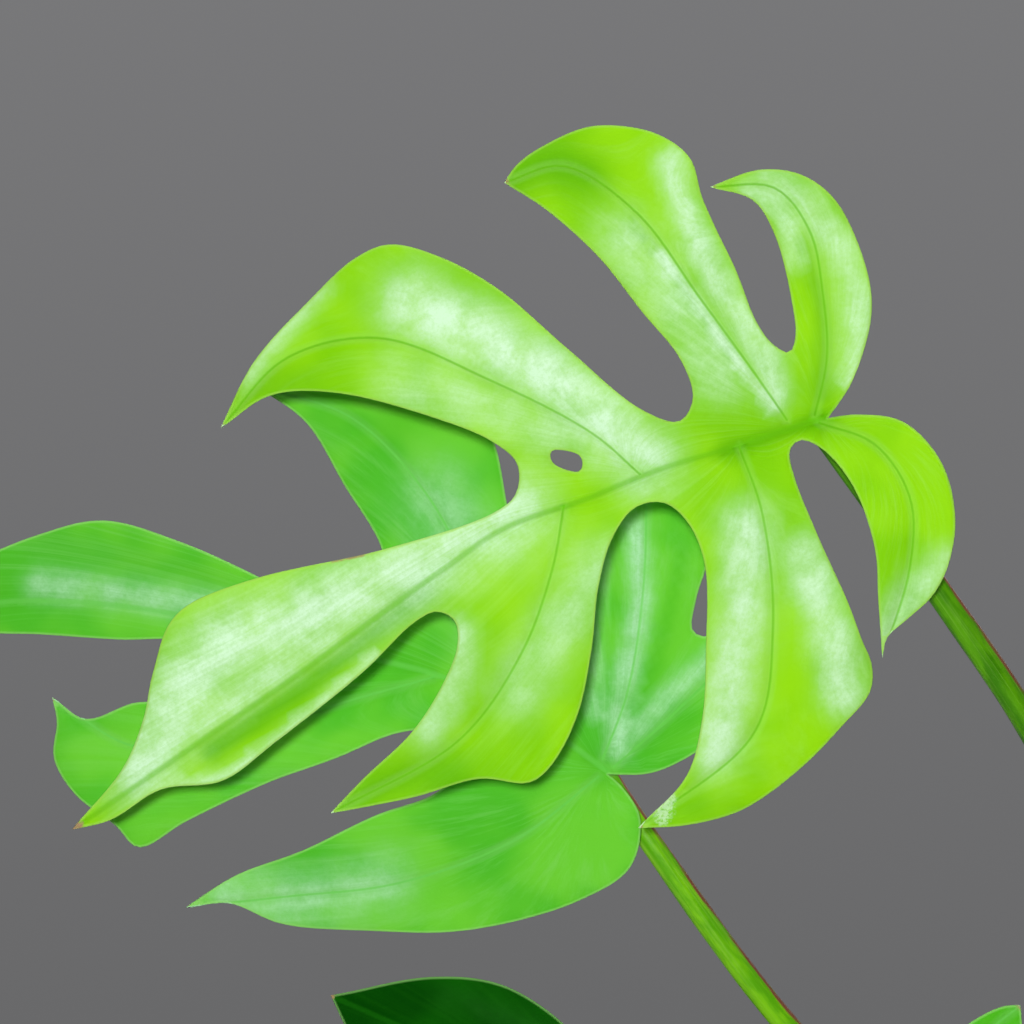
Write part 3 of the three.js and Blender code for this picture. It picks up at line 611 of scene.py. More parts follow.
def clay_material():
    """Unglazed terracotta: grain, turning marks, a pale bloom of salts low down and on the band."""
    clay = Surface("terracotta", 0.25)
    place = clay.place()
    grain = clay.noise(place, 900, 5, 0.7)
    cloud = clay.noise(place, 24, 4, 0.6)
    turning = clay.noise(place, (6, 6, 420), 3, 0.6)
    colour = clay.tint(CLAY_DARK, CLAY_LIGHT, cloud, 0.35, 0.65)
    colour = clay.tint(colour, CLAY_TURNING, turning, 0.4, 0.75, 0, 0.35)
    colour = clay.tint(colour, CLAY_GRAIN, grain, 0.60, 0.70, 0, 0.5)
    bloom = clay.add(clay.field("bloom"), clay.step(cloud, 0.3, 0.7, -0.45, 0.35))
    bloom = clay.times(clay.step(bloom, 0.35, 0.95), clay.step(grain, 0.3, 0.6, 0.4, 1))
    colour = clay.mix(clay.times(bloom, 0.6), colour, CLAY_BLOOM)
    colour = clay.mix(clay.field("damp"), colour, CLAY_DAMP)
    rough = clay.step(clay.field("damp"), 0, 1, 0.86, 0.6)
    relief = clay.add(clay.times(grain, 0.5), turning)
    return clay.finish(colour, rough, clay.bump(relief, 0.4, 0.0007))


def crumb_material(name, dark, light, scale, roughness):
    """Loose matter, patterned in its own place: soil, bark or perlite."""
    crumb = Surface(name, 0.3)
    place = crumb.place()
    cloud = crumb.noise(place, scale, 5, 0.7)
    grain = crumb.noise(place, scale * 7, 4, 0.75)
    colour = crumb.tint(dark, light, cloud, 0.35, 0.65)
    colour = crumb.tint(colour, tuple(0.35 * c for c in dark), grain, 0.3, 0.5, 0.6, 0)
    relief = crumb.add(cloud, grain)
    return crumb.finish(colour, crumb.step(grain, 0.3, 0.7, roughness - 0.08, roughness),
                        crumb.bump(relief, 0.8, 0.0012))


# ---- Blades ----------------------------------------------------------------------------------

MARGIN_STEP = 1.6
FACE_STEP = 2.2
CELL = 0.55  # no two free points of a plan are left in one cell of this size
BLADE_HALF = 0.25  # half of the thickness between the veins
MIDRIB_HEIGHT = 1.5  # of the rib on the underside
VEIN_HEIGHT = 0.45
MIDRIB_GROOVE = 0.4  # depth on the upper face
VEIN_GROOVE = 0.3
VEIN_SHOULDER = 0.22  # the swelling on both sides of a vein's groove
RIM_OUT = 0.12  # how far the rounded rim stands out
TIP_DRY = 0.85
TIP_DRY_REACH = 1.3
GUTTER_REACH = 9  # from the midrib, where about two thirds of the gutter have been climbed
DROOP_AT = 75  # from the midrib, where the blade has sunk by its droop
ARCH_LEVEL = 0.3  # share of the length at which the arch runs level
CREASE_REACH = 6
QUILTING = 0.55  # height of the swellings and hollows away from the veins
QUILT_REACH = 7
# Height, size, shift of the seed, and the distance from the midrib where they are full.
BILLOWS = [(1.1, 26, 0, 14), (0.28, 8, 5, 8)]
EDGE_WAVE = 0.9
EDGE_WAVE_SIZE = 13
EDGE_ROLL = 0.35  # how far the very edge turns down


def outline_of(shape, scale):
    loop = []
    start = (0, 0)
    for stretch in shape["margin"]:
        loop.append(smooth([start, *stretch], MARGIN_STEP / scale)[:-1])
        start = stretch[-1]
    return np.vstack(loop)


def beside(line, offset):
    """The points of a line, moved sideways."""
    along = np.gradient(line, axis=0)
    across = np.stack([-along[:, 1], along[:, 0]], 1)
    return line + offset * across / np.linalg.norm(across, axis=1)[:, None]


def lattice(low, high, step):
    """A triangular lattice of points over a box."""
    rows = np.arange(low[1], high[1], step * 0.87)
    columns = np.arange(low[0], high[0], step)
    return np.array([(x + (r % 2) * step / 2, y) for r, y in enumerate(rows) for x in columns])


def from_margin(loops, xy):
    return np.min([distance(np.vstack([loop, loop[:1]]), xy) for loop in loops], axis=0)


def on_blade(loops, xy):
    """Inside the outline, which comes first, and outside every hole."""
    keep = inside(loops[0], xy)
    for loop in loops[1:]:
        keep &= ~inside(loop, xy)
    return keep


def plan_mesh(shape, scale):
    """The blade's plan as points and triangles, with edges along its margin and its veins."""
    outline = outline_of(shape, scale)
    loops = [outline]
    if "hole" in shape:
        loops.append(smooth(shape["hole"], 0.9 / scale, closed=True)[:-1])
    midrib, *veins = [smooth(line, 2 / scale) for line in (shape["midrib"], *shape["veins"])]
    lines = [midrib, *veins]
    points = [*loops, *lines]
    edges = []
    first = 0
    for n, line in enumerate(points):
        count = len(line)
        closed = n < len(loops)
        edges += [(first + i, first + (i + 1) % count) for i in range(count if closed else count - 1)]
        first += count

    inner = [beside(outline, side * 0.8 / scale) for side in (-1, 1)]
    rows = [beside(midrib, side * off / scale) for side in (-1, 1) for off in (0.9, 2.1)]
    rows += [beside(vein, side * off / scale) for vein in veins for side in (-1, 1) for off in (0.6, 1.5)]
    grid = lattice(outline.min(0), outline.max(0), FACE_STEP / scale)
    grid = grid[np.min([distance(line, grid) for line in lines], axis=0) > 2.6 / scale]
    kept = {}  # the first point in each small cell
    for group, clear in ((np.vstack(inner), 0.65), (np.vstack(rows), 0.7), (grid, 1.9)):
        keep = on_blade(loops, group) & (from_margin(loops, group) > clear / scale)
        for point in group[keep]:
            kept.setdefault(tuple(np.floor(point * scale / CELL).astype(int)), point)
    points.append(np.array(list(kept.values())))

    made = delaunay_2d_cdt([Vector(p) for p in np.vstack(points)], edges, [], 0, 1e-5)
    xy = np.array([tuple(v) for v in made[0]])
    faces = np.array(made[2])
    faces = faces[on_blade(loops, xy[faces].mean(1))]
    a, b, c = (xy[faces[:, k]] for k in range(3))
    turn = (b - a)[:, 0] * (c - a)[:, 1] - (b - a)[:, 1] * (c - a)[:, 0]
    faces = faces[np.abs(turn) > 1e-5]
    turn = turn[np.abs(turn) > 1e-5]
    faces[turn < 0] = faces[turn < 0][:, ::-1]
    used, faces = np.unique(faces, return_inverse=True)
    return xy[used], faces.reshape(-1, 3), loops, midrib, veins


def blade_fields(shape, scale, xy, loops, midrib, veins):
    """What the relief and the material need to know at each point of the plan."""
    from_midrib = distance(midrib, xy)
    from_veins = np.array([distance(vein, xy) for vein in veins])
    tips = np.array([stretch[-1] for stretch in shape["margin"][:-1]])
    from_tip = np.linalg.norm(xy[:, None] - tips, axis=2).min(1) * scale
    side = np.sign(xy[:, 1] - np.interp(xy[:, 0], midrib[:, 0], midrib[:, 1]))
    vein_side = np.array([np.sign(vein[-1, 1]) for vein in veins])
    reach = np.where(vein_side[:, None] == side, from_veins, 1e3)
    weight = 1 / (np.vstack([reach, from_midrib]) + 1.5)
    order = np.arange(len(veins) + 1)[:, None]
    grain = (order * weight).sum(0) / weight.sum(0)
    return {
        "midrib": from_midrib * scale,
        "vein": from_veins.min(0) * scale,
        "veins": from_veins,
        "edge": from_margin(loops, xy) * scale,
        "grain": np.stack([grain + 7 * side, from_midrib * scale, 0 * grain], 1),
        # painted highlight strokes, then the painted shade and deeper tone strokes
        "painted_sheen": strokes(shape["painted_sheen"], xy),
        "deep": strokes(shape.get("deep", []), xy),
        "scar": strokes(shape.get("scars", []), xy),
        "dry": np.maximum(strokes(shape.get("dry", []), xy), TIP_DRY * bell(from_tip, TIP_DRY_REACH)),
    }


def relief_of(leaf, xy, fields, seed):
    """Height of the blade's middle surface above its plan, in the plan's own millimetres."""
    along = xy[:, 0] / leaf["shape"]["length"] - ARCH_LEVEL
    midrib = fields["midrib"]
    height = leaf["gutter"] * (1 - np.exp(-midrib / GUTTER_REACH))
    height -= leaf["droop"] * (midrib / DROOP_AT) ** 2
    height -= leaf["arch"] * along * np.abs(along)
    height -= leaf["crease"] * np.exp(-fields["veins"] / CREASE_REACH).sum(0)
    between = 1 - bell(fields["vein"], QUILT_REACH)
    height += QUILTING * between * np.sin(9 * fields["grain"][:, 0]) * np.minimum(midrib / 18, 1)
    for rise, size, shift, full_at in BILLOWS:
        height += rise * wander(xy, size, seed + shift) * np.minimum(midrib / full_at, 1)
    height += EDGE_WAVE * wander(xy, EDGE_WAVE_SIZE, seed + 9) * np.exp(-fields["edge"] / 4)
    height -= EDGE_ROLL * np.exp(-fields["edge"] / 1.2)
    return height


def blade_frame(leaf):
    """From a blade's own millimetres to the plant's."""
    turn = Matrix.Rotation(math.radians(leaf["turn"]), 4, "Z")
    lean = Matrix.Rotation(math.radians(90 - leaf["lean"]), 4, "X")
    heading = Matrix.Rotation(math.radians(leaf["heading"]), 4, "Z")
    base = Matrix.Translation((leaf["base"][0], leaf["base"][1], leaf["base"][2] + SOIL_EDGE))
    return base @ turn @ lean @ heading


def carried(frame_matrix, points):
    matrix = np.array(frame_matrix)
    return np.asarray(points) @ matrix[:3, :3].T + matrix[:3, 3]


def rim_of(faces):
    """The directed edges that only one triangle has."""
    rim = {}
    for face in faces:
        for k in range(3):
            a, b = int(face[k]), int(face[(k + 1) % 3])
            if (b, a) in rim:
                del rim[b, a]
            else:
                rim[a, b] = True
    return list(rim)


def scale_and_side(leaf):
    return leaf["length"] / leaf["shape"]["length"], -1 if leaf.get("mirrored") else 1


FIELDS = ("midrib", "vein", "edge", "grain", "painted_sheen", "deep", "scar", "dry")  # kept on the mesh


def make_blade(number, leaf, material):
    shape = leaf["shape"]
    scale, side = scale_and_side(leaf)
    xy, faces, loops, midrib, veins = plan_mesh(shape, scale)
    fields = blade_fields(shape, scale, xy, loops, midrib, veins)
    middle = relief_of(leaf, xy, fields, number * 3.7) * scale

    fade = np.clip(1.1 - xy[:, 0] / shape["length"], 0.1, 1)
    rib = MIDRIB_HEIGHT * fade * bell(fields["midrib"], 1.0)
    rib += VEIN_HEIGHT * fade * bell(fields["vein"], 0.7)
    groove = MIDRIB_GROOVE * fade * bell(fields["midrib"], 0.8)
    groove += VEIN_GROOVE * bell(fields["vein"], 0.55)
    shoulder = VEIN_SHOULDER * bell(fields["vein"] - 1.4, 0.7)
    shoulder *= np.minimum(fields["edge"] / 3, 1)
    taper = np.minimum(0.45 + fields["edge"] * 0.7, 1)
    top = middle + BLADE_HALF * taper - groove + shoulder
    bottom = middle - BLADE_HALF * taper - rib * np.minimum(fields["edge"] / 2.5, 1)

    flat = xy * (scale, scale * side)
    count = len(xy)
    faces = faces[:, ::side]  # a mirrored blade's triangles are turned over
    rim = rim_of(faces)
    onward = {a: b for a, b in rim}
    backward = {b: a for a, b in rim}
    edge_points = sorted(onward)
    middle_of = {}
    ring = []
    for k, a in enumerate(edge_points):
        way = flat[onward[a]] - flat[backward[a]]
        out = np.array([way[1], -way[0]]) / max(np.linalg.norm(way), 1e-6)
        middle_of[a] = 2 * count + k
        ring.append((*(flat[a] + out * RIM_OUT), middle[a]))
    points = np.vstack([np.column_stack([flat, top]), np.column_stack([flat, bottom]), ring])
    walls = []
    for a, b in rim:
        low_a, low_b, mid_a, mid_b = a + count, b + count, middle_of[a], middle_of[b]
        walls += [(a, mid_a, mid_b, b), (mid_a, low_a, low_b, mid_b)]
    under = [tuple(int(i) + count for i in face[::-1]) for face in faces]
    all_faces = [tuple(int(i) for i in face) for face in faces] + under + walls

    rows = np.concatenate([np.arange(count), np.arange(count), edge_points]).astype(int)
    face_value = np.concatenate([np.ones(count), np.zeros(count), np.full(len(ring), 0.5)])
    shown = {name: fields[name][rows] for name in FIELDS}
    shown["plan"] = np.column_stack([xy[rows] * scale, 40 * face_value + 11 * number])
    shown["face"] = face_value
    return build(f"blade_{number}", carried(blade_frame(leaf), points), all_faces, material, shown,
                 slot=f"leaf_{leaf['paint']}", replaces=[f"leaf_{number}"])


# ---- Rods: stem, stalks, roots, new leaf -----------------------------------------------------


def bands(first, rows, sides):
    """Faces between neighbouring rings of points, from the point with index first."""
    faces = []
    for row in range(rows):
        for k in range(sides):
            a, b = first + row * sides + k, first + row * sides + (k + 1) % sides
            faces.append((a, b, b + sides, a + sides))
    return faces


def rod(line, radius, sides):
    """A closed rod along a line of points. radius has a row for each point and a column for each
    side. Gives the points, the faces, how far round and along each point is, and its direction."""
    line = np.asarray(line, float)
    tangents = np.gradient(line, axis=0)
    tangents /= np.linalg.norm(tangents, axis=1)[:, None]
    across = np.cross(tangents[0], (0.0, 1.0, 0.0))
    if np.linalg.norm(across) < 0.3:
        across = np.cross(tangents[0], (1.0, 0.0, 0.0))
    run = run_of(line)
    angles = around(sides)
    points, outward, skin = [], [], []
    for i, tangent in enumerate(tangents):
        across = across - tangent * (across @ tangent)
        across /= np.linalg.norm(across)
        other = np.cross(tangent, across)
        for k, angle in enumerate(angles):
            way = across * math.cos(angle) + other * math.sin(angle)
            points.append(line[i] + way * radius[i, k])
            outward.append(way)
            skin.append((math.cos(angle) * 2, run[i], math.sin(angle) * 2))
    faces = bands(0, len(line) - 1, sides)
    for end, row in ((0, range(sides - 1, -1, -1)), (len(line) - 1, range(sides))):
        centre = len(points)
        points.append(line[end])
        outward.append(tangents[end] * (1 if end else -1))
        skin.append((0, run[end], 0))
        ring = [end * sides + k for k in row]
        faces += [(ring[k], ring[(k + 1) % sides], centre) for k in range(sides)]
    return np.array(points), faces, np.array(skin), np.array(outward)


def at_height(line, height):
    return np.array([np.interp(height, line[:, 2], line[:, k]) for k in range(3)])


def raised(points):
    """From places above the soil's edge to places above the ground."""
    return [(x, y, z + SOIL_EDGE) for x, y, z in points]


stem_line = smooth(raised(STEM_LINE), 1.0)
node_heights = [leaf["node"] + SOIL_EDGE for leaf in LEAVES] + [TOP_NODE + SOIL_EDGE]


def make_stem(material):
    height = stem_line[:, 2:3]
    nodes = np.array(node_heights)[None]
    swelling = NODE_SWELLING * bell(height - nodes, NODE_REACH).max(1)
    scar = sum(rise * bell(height - nodes - above, reach).max(1) for rise, above, reach in NODE_RINGS)
    foot = 0.5 * np.exp(-np.maximum(height[:, 0] - SOIL_EDGE, 0) / 18)
    sides = 28
    angle = around(sides)
    ribs = 0.09 * np.sin(angle * 7)[None] + 0.07 * np.sin(angle * 3 + height * 0.05)
    radius = STEM_RADIUS + (swelling + scar + foot)[:, None] + ribs
    to_tip = np.maximum(1 - (height[-1] - height) / STEM_TIP_LENGTH, 0)
    radius -= (STEM_RADIUS - STEM_TIP) * to_tip ** 2
    radius[-3:] *= np.array([[0.98], [0.94], [0.82]])
    points, faces, skin, _ = rod(stem_line, radius, sides)
    z = points[:, 2:3]
    ring = bell(z - nodes - 1, 3.4).max(1)
    ring = np.maximum(ring, np.clip(1 - (z[:, 0] - SOIL_EDGE) / STEM_CORKED, 0, 1))
    build("climbing_stem", points, faces, material, {"skin": skin, "ring": ring},
          slot="stem_green", replaces=["stem"])


def make_stalk(number, leaf, material):
    """From inside the stem's node to about the midrib's root, with a sheath below and a knee above."""
    shape = leaf["shape"]
    scale, side = scale_and_side(leaf)
    x, y = STALK_MEETS
    away = [distance(smooth(vein, 2), np.array([STALK_MEETS]))[0] for vein in shape["veins"]]
    low = -leaf["crease"] * sum(math.exp(-gap / CREASE_REACH) for gap in away)
    back = low * scale - STALK_END
    frame_matrix = blade_frame(leaf)
    ends = [(x * scale, y * scale * side, back - KNEE_DEPTH), (x * scale, y * scale * side, back)]
    ends = carried(frame_matrix, ends)
    start = at_height(stem_line, leaf["node"] + SOIL_EDGE)
    line = smooth([start, *raised(leaf["guides"]), *ends], 1.6)
    run = run_of(line)
    left = run[-1] - run
    girth = 0.45 + 0.55 * leaf["length"] / MATURE_LEAF["length"]
    radius = STALK_RADIUS * np.minimum(1, 0.75 + left / 16)
    radius += STALK_THICKENING * (1 - np.exp(-left / STALK_THICKENS_OVER))
    radius = radius * girth + STALK_SHEATH * np.exp(-run / SHEATH_LENGTH)
    radius += KNEE_SWELLING * bell(left - KNEE_BELOW, KNEE_REACH)
    radius += 0.07 * wander(np.column_stack([run, run * 0]), 9, number * 2.3)
    sides = 20
    angle = around(sides)
    flute = 1 - 0.07 * np.maximum(np.cos(angle), 0) ** 2
    points, faces, skin, outward = rod(line, radius[:, None] * flute[None], sides)
    lined = np.clip((outward @ LINE_WAY - 0.72) / 0.24, 0, 1)
    knee = bell(run[-1] - skin[:, 1] - KNEE_DEPTH, KNEE_REACH)
    build(f"stalk_{number}", points, faces, material, {"skin": skin, "line": lined, "knee": knee},
          slot="stalk_green", replaces=[f"leaf_stalk_{number}"])


def make_root(number, root, material):
    start = at_height(stem_line, root["node"] + SOIL_EDGE)
    step = 1.3
    line = smooth([start, *raised(root["line"])], step)
    run = np.arange(len(line)) * step
    sides = 14
    angle = around(sides)
    knobs = np.array([[noise.noise((math.cos(a) * 0.9, math.sin(a) * 0.9 + number, r / 5)) for a in angle]
                      for r in run])
    radius = ROOT_RADIUS + 0.35 * np.exp(-run / 8)[:, None] + 0.22 * knobs
    points, faces, skin, _ = rod(line, radius, sides)
    build(f"root_{number}", points, faces, material, {"skin": skin},
          slot="root_brown", replaces=[f"aerial_root_{number}"])


def make_new_leaf(material):
    """A rolled blade: a spindle whose one free edge winds up it as a step."""
    top = stem_line[-1]
    way = stem_line[-1] - stem_line[-4]
    way /= np.linalg.norm(way)
    length = NEW_LEAF_LENGTH
    tip_radius = 0.5
    line = smooth([top - way * 2, top + way * length * 0.06,
                   top + (1, -2, length * 0.3), top + (3, -6, length * 0.7), top + (8, -11, length)], 1.2)
    run = np.linspace(0, 1, len(line))
    belly = np.sin(math.pi * np.minimum(1, (0.22 + run) ** 1.3))
    closing = np.minimum(1, (1 - run) * 8)
    size = tip_radius + (NEW_LEAF_RADIUS - tip_radius) * np.maximum(belly, 0) * closing
    sides = 36
    angle = around(sides)
    twist = 1.9  # in radians, from foot to tip
    turned_by = (angle[None] + twist * run[:, None]) % (2 * math.pi)
    wrap = 1.06 - 0.17 * turned_by / (2 * math.pi)
    second = 0.05 * np.cos(2 * turned_by + 0.8)
    points, faces, skin, _ = rod(line, size[:, None] * (wrap + second), sides)
    count = len(points)
    zero = np.zeros(count)
    seam = np.full(count, 9.0)
    seam[:len(line) * sides] = (np.minimum(turned_by, 2 * math.pi - turned_by) * size[:, None]).ravel()
    # the rolled leaf has a faint painted highlight all over
    fields = {"plan": skin, "grain": np.column_stack([skin[:, 0] * 0.4, skin[:, 1], skin[:, 2] * 0.4]),
              "midrib": zero + 9, "vein": zero + 9, "edge": seam, "painted_sheen": zero + 0.15, "deep": zero,
              "scar": zero, "dry": np.clip((skin[:, 1] - length * 0.985) / 2, 0, 0.8), "face": zero + 1}
    build("rolled_leaf", points, faces, material, fields, slot="leaf_lime", replaces=["new_leaf"])


# ---- Pot and soil ----------------------------------------------------------------------------


def ring_of(r, z, sides):
    return [(r * math.cos(a), r * math.sin(a), z) for a in around(sides)]


def ring_faces(count, sides):
    """Faces over rings of points, where the first and the last of all points lie on the axis."""
    last = count - 1
    first = last - sides
    foot = [(0, 1 + (k + 1) % sides, 1 + k) for k in range(sides)]
    top = [(first + k, first + (k + 1) % sides, last) for k in range(sides)]
    return foot + bands(1, (count - 2) // sides - 1, sides) + top


def turned(profile, sides):
    """Points and faces of a body turned round the Z axis; the profile starts and ends on the axis."""
    points = [(0, 0, profile[0][1])]
    for r, z in profile[1:-1]:
        points += ring_of(r, z, sides)
    points.append((0, 0, profile[-1][1]))
    return points, ring_faces(len(points), sides)


def drill(pot, angle, material):
    """Cuts one drain hole through the pot's floor."""
    hole, hole_faces = turned([(0, -9), (DRAIN_RADIUS, -9), (DRAIN_RADIUS, 19), (0, 19)], 28)
    hole = np.array(hole) + (DRAIN_CIRCLE * math.cos(angle), DRAIN_CIRCLE * math.sin(angle), 0)
    cutter = build("drill", hole, hole_faces, material)
    cut = pot.modifiers.new("drain", "BOOLEAN")
    cut.object = cutter
    cut.solver = "EXACT"
    bpy.context.view_layer.update()
    evaluated = pot.evaluated_get(bpy.context.evaluated_depsgraph_get())
    carved = bpy.data.meshes.new_from_object(evaluated)
    pot.modifiers.clear()
    pot.data = carved
    bpy.data.objects.remove(cutter)


def make_pot(material):
    wall, floor, band, band_step = 6, 8, 24, 3.5
    foot_radius = 54
    flare = (RIM_RADIUS - band_step - foot_radius) / POT_HEIGHT

    def outer(z):
        return foot_radius + flare * z

    band_foot = POT_HEIGHT - band
    profile = [(0, 0), (30, 0), (50, 0), (52.4, 0.2), (53.6, 0.9), (54.1, 2.2)]
    for z in np.arange(4, band_foot - 1, 1.5):
        profile.append((outer(z) + 0.12 * math.sin(z * 1.1) + 0.06 * math.sin(z * 2.7), z))
    profile += [(outer(band_foot) - 0.1, band_foot - 0.6), (outer(band_foot) + 0.5, band_foot + 0.1),
                (outer(band_foot) + 2.5, band_foot + 0.5), (outer(band_foot) + 3.4, band_foot + 1.6)]
    for z in np.arange(band_foot + 3, POT_HEIGHT - 3.5, 1.5):
        share = (z - band_foot) / band
        swell = RIM_RADIUS - (1 - share) * (RIM_RADIUS - outer(band_foot) - band_step)
        profile.append((swell + 0.08 * math.sin(z * 1.3) - 0.08, z))
    lip = 2.6
    middle = RIM_RADIUS - lip
    inner = outer(POT_HEIGHT) - wall
    for k in range(7):
        angle = math.radians(15 * k)
        profile.append((middle + lip * math.cos(angle), POT_HEIGHT - lip + lip * math.sin(angle)))
    for k in range(7):
        angle = math.radians(90 + 15 * k)
        profile.append((inner + lip + lip * math.cos(angle), POT_HEIGHT - lip + lip * math.sin(angle)))
    for z in np.arange(POT_HEIGHT - 5, floor + 1, -4):
        profile.append((outer(z) - wall + 0.1 * math.sin(z * 0.9), z))
    profile += [(outer(floor) - wall, floor), (30, floor), (0, floor)]
    points, faces = turned(profile, 160)
    pot = build("clay_pot", points, faces, material, slot="pot_clay", replaces=["pot"])

    for k in range(DRAIN_HOLES):
        drill(pot, math.radians(45 + 360 / DRAIN_HOLES * k), material)
    mesh = pot.data
    place = np.array([tuple(v.co) for v in mesh.vertices]) / MM
    out = np.hypot(place[:, 0], place[:, 1])
    outside = out > np.array([outer(z) - 2 for z in place[:, 2]])
    bloom = np.where(outside, 0.75 * np.exp(-place[:, 2] / 22), 0)
    bloom += 0.5 * bell(place[:, 2] - POT_HEIGHT, 5)
    bloom += np.where(outside, 0.45 * bell(place[:, 2] - band_foot + 3, 5), 0)
    damp = np.where(outside, 0, np.clip((SOIL_EDGE + 6 - place[:, 2]) / 7, 0, 0.75))
    for name, values in (("bloom", bloom), ("damp", damp)):
        mesh.attributes.new(name, "FLOAT", "POINT").data.foreach_set("value", values.astype(np.float32))


def soil_height(x, y):
    out = math.hypot(x, y) / SOIL_RADIUS
    lumps = sum(rise * noise.noise((x / size, y / size, seed)) for rise, size, seed in SOIL_LUMPS)
    return SOIL_EDGE - 0.6 + SOIL_CROWN * (1 - out**2) + lumps - 4.8 * max(out - 0.9, 0)


def make_soil(material):
    rings, sides = 56, 150
    points = [(0, 0, SOIL_FOOT)]
    for r in (0.5 * SOIL_RADIUS, 50.0):
        points += ring_of(r, SOIL_FOOT, sides)
    for ring in range(rings, 0, -1):
        points += [(x, y, soil_height(x, y)) for x, y, _ in ring_of(SOIL_RADIUS * ring / rings, 0, sides)]
    points.append((0, 0, soil_height(0, 0)))
    build("soil_bed", points, ring_faces(len(points), sides), material,
          slot="potting_soil", replaces=["soil"])


def lump(random_source, size, flat, jag):
    """A small irregular solid: a twice-divided octahedron pushed in and out."""
    points = [(1, 0, 0), (-1, 0, 0), (0, 1, 0), (0, -1, 0), (0, 0, 1), (0, 0, -1)]
    faces = [(0, 2, 4), (2, 1, 4), (1, 3, 4), (3, 0, 4), (2, 0, 5), (1, 2, 5), (3, 1, 5), (0, 3, 5)]
    for _ in range(2):
        halves, finer = {}, []
        for a, b, c in faces:
            mids = []
            for p, q in ((a, b), (b, c), (c, a)):
                key = (min(p, q), max(p, q))
                if key not in halves:
                    middle = Vector(points[p]) + Vector(points[q])
                    halves[key] = len(points)
                    points.append(tuple(middle.normalized()))
                mids.append(halves[key])
            finer += [(a, mids[0], mids[2]), (mids[0], b, mids[1]), (mids[2], mids[1], c), tuple(mids)]
        faces = finer
    seed = random_source.random() * 90
    width = size * random_source.uniform(0.5, 0.8)
    turn = Matrix.Rotation(random_source.uniform(0, 2 * math.pi), 3, "Z")
    tilt = Matrix.Rotation(random_source.uniform(-0.5, 0.5), 3, "X")
    made = []
    for x, y, z in points:
        push = 1 + jag * noise.noise((x * 1.6 + seed, y * 1.6, z * 1.6))
        place = Vector((x * size * push, y * width * push, z * size * flat * push))
        made.append(tuple(turn @ tilt @ place))
    return made, faces


def scatter(name, material, count, sizes, flat, jag, seed):
    """Loose pieces lying on the soil, clear of the stem and of the soil's edge."""
    source = random.Random(seed)
    points, faces = [], []
    for _ in range(count):
        out = (SOIL_RADIUS - 3.5) * math.sqrt(source.uniform(0.02, 1))
        angle = source.uniform(0, 2 * math.pi)
        x, y = out * math.cos(angle), out * math.sin(angle)
        size = source.uniform(*sizes)
        made, made_faces = lump(source, size, flat, jag)
        reach = math.hypot(x, y) + size
        if reach > SOIL_RADIUS - 0.5 or math.hypot(x, y) < STEM_RADIUS + size + 1:
            continue
        z = soil_height(x, y) + size * flat * 0.25
        first = len(points)
        points += [(x + p[0], y + p[1], z + p[2]) for p in made]
        faces += [tuple(first + i for i in face) for face in made_faces]
    build(name, points, faces, material, slot="potting_soil")


# ---- The plant -------------------------------------------------------------------------------

materials = {name: leaf_material(f"leaf_{name}", paint) for name, paint in PAINTS.items()}
for number, leaf in enumerate(LEAVES, 1):
    make_blade(number, leaf, materials[leaf["paint"]])
stalk_skins = {name: stalk_material(*skin) for name, skin in STALK_SKINS.items()}
stalk_skins["deep_green"] = stalk_skins["green"]
for number, leaf in enumerate(LEAVES, 1):
    make_stalk(number, leaf, stalk_skins[leaf["paint"]])
make_stem(stem_material())
root_skin = root_material()
for number, root in enumerate(ROOTS, 1):
    make_root(number, root, root_skin)
make_new_leaf(materials["lime"])
make_pot(clay_material())
make_soil(crumb_material("soil", *SOIL_COLOURS, 160, 0.95))
for name, skin, dark, light, scale, roughness, *placing in LOOSE:
    scatter(name, crumb_material(skin, dark, light, scale, roughness), *placing)

# ---- Camera, lights and floor, in metres -----------------------------------------------------

AIM = Vector((-0.150, -0.060, 0.400))
CAMERA_DISTANCE = 0.9
CAMERA_ELEVATION = math.radians(7)
VIEW_WIDTH = 0.22443  # at the point aimed at
SENSOR_WIDTH = 36


def look(obj, place, target):
    obj.location = place
    obj.rotation_euler = (Vector(target) - Vector(place)).to_track_quat("-Z", "Y").to_euler()
    bpy.context.scene.collection.objects.link(obj)


lens = bpy.data.cameras.new("camera")
lens.sensor_width = SENSOR_WIDTH
lens.lens = SENSOR_WIDTH * CAMERA_DISTANCE / VIEW_WIDTH
camera = bpy.data.objects.new("camera", lens)
back = Vector((0, -math.cos(CAMERA_ELEVATION), math.sin(CAMERA_ELEVATION)))
look(camera, AIM + CAMERA_DISTANCE * back, AIM)
bpy.context.scene.camera = camera

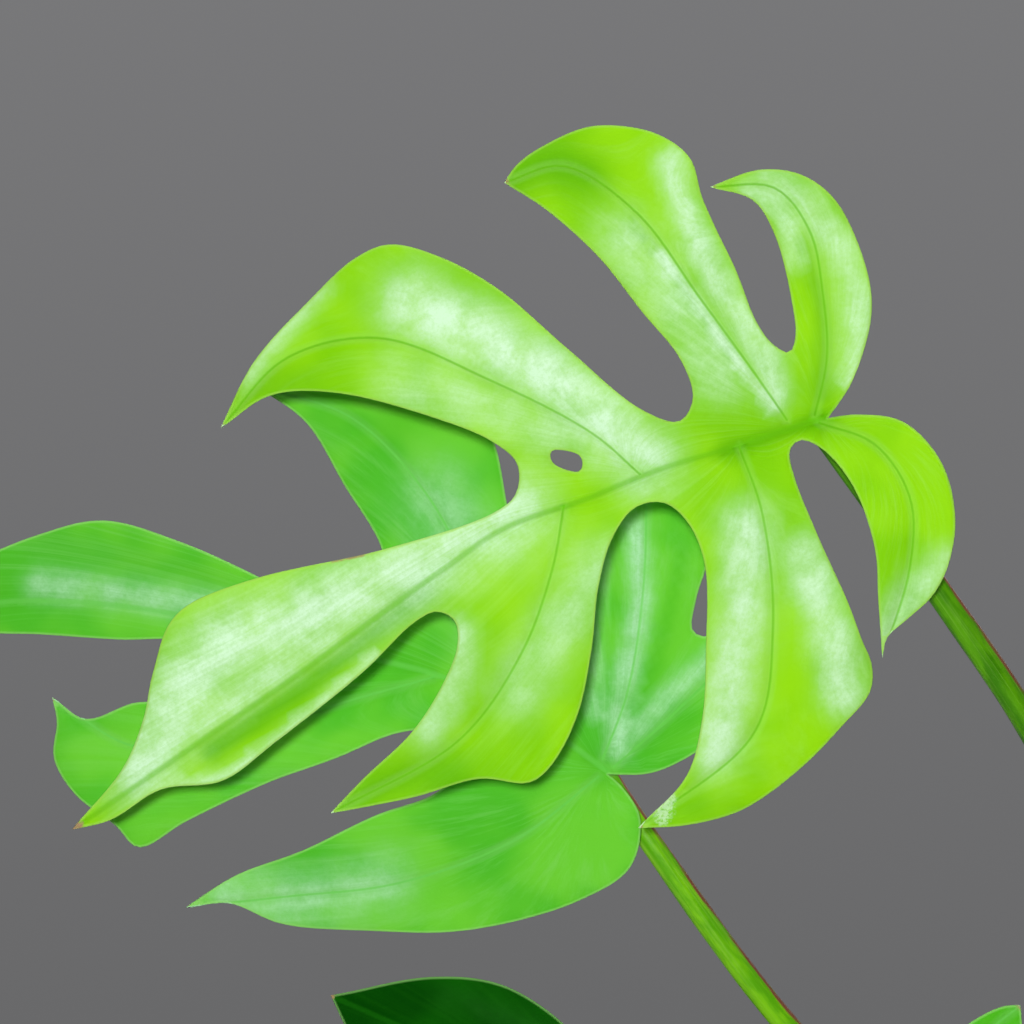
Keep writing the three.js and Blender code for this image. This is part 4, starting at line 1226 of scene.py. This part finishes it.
LIGHTS = [
    # name, place, place lit, width, height, watts
    ("key", (-0.20, -1.32, 0.62), AIM, 0.07, 0.07, 15),
    ("overhead", (0.0, 0.3, 2.2), (0, 0, 0.25), 1.6, 1.6, 22),
    ("left", (-2.0, -0.5, 1.1), (0, 0, 0.25), 1.2, 1.6, 2.5),
    ("right", (2.0, -0.3, 1.2), (0, 0, 0.25), 1.2, 1.6, 2),
    ("behind", (0.5, 2.2, 1.2), (0, 0, 0.25), 1.6, 1.6, 16),
]
for name, place, target, width, height, watts in LIGHTS:
    lamp = bpy.data.lights.new(name, "AREA")
    lamp.shape = "RECTANGLE"
    lamp.size = width
    lamp.size_y = height
    lamp.energy = watts
    light = bpy.data.objects.new(name, lamp)
    light.visible_camera = False
    look(light, place, target)

WALL_GREY = (0.142, 0.142, 0.145)  # low down
WALL_GREY_ABOVE = (0.19, 0.19, 0.195)
WALL_CHANGES = (-0.24, 0.02)  # the upward part of a view's direction where it starts and ends
ROOM_LIGHT = 0.4  # how much of the walls' brightness reaches the plant


def make_world():
    """Grey walls that get lighter upwards and light the plant less than they show."""
    world = bpy.data.worlds.new("studio")
    bpy.context.scene.world = world
    world.use_nodes = True
    room = Nodes(world.node_tree)
    wall = room.tree.nodes["Background"]
    split = room.tree.nodes.new("ShaderNodeSeparateXYZ")
    room.put(split.inputs[0], room.place("Generated"))
    height = room.step(split.outputs["Z"], *WALL_CHANGES, interpolation="LINEAR")
    room.put(wall.inputs["Color"], room.mix(height, WALL_GREY, WALL_GREY_ABOVE))
    path = room.tree.nodes.new("ShaderNodeLightPath")
    seen = room.step(path.outputs["Is Camera Ray"], 0, 1, ROOM_LIGHT, 1, interpolation="LINEAR")
    room.put(wall.inputs["Strength"], seen)


make_world()
bpy.context.scene.view_settings.view_transform = "Standard"


def floor_material():
    """Pale card that fades out well away from the pot."""
    card = Surface("floor_card", 0.2)
    card.shader.inputs["Roughness"].default_value = 0.9
    away = card.tree.nodes.new("ShaderNodeVectorMath")
    away.operation = "LENGTH"
    card.put(away.inputs[0], card.place())
    card.put(card.shader.inputs["Alpha"], card.step(away.outputs["Value"], 0.45, 1.0, 1, 0))
    mottle = card.noise(card.place(), 30, 3)
    return card.finish(card.mix(mottle, CARD, CARD_LIGHT))


FLOOR_RADIUS = 1050  # in millimetres, as every profile is
floor_profile = [(0, -4), (FLOOR_RADIUS, -4), (FLOOR_RADIUS, 0), (0, 0)]
floor_points, floor_faces = turned(floor_profile, 96)
floor = build("floor", floor_points, floor_faces, floor_material())
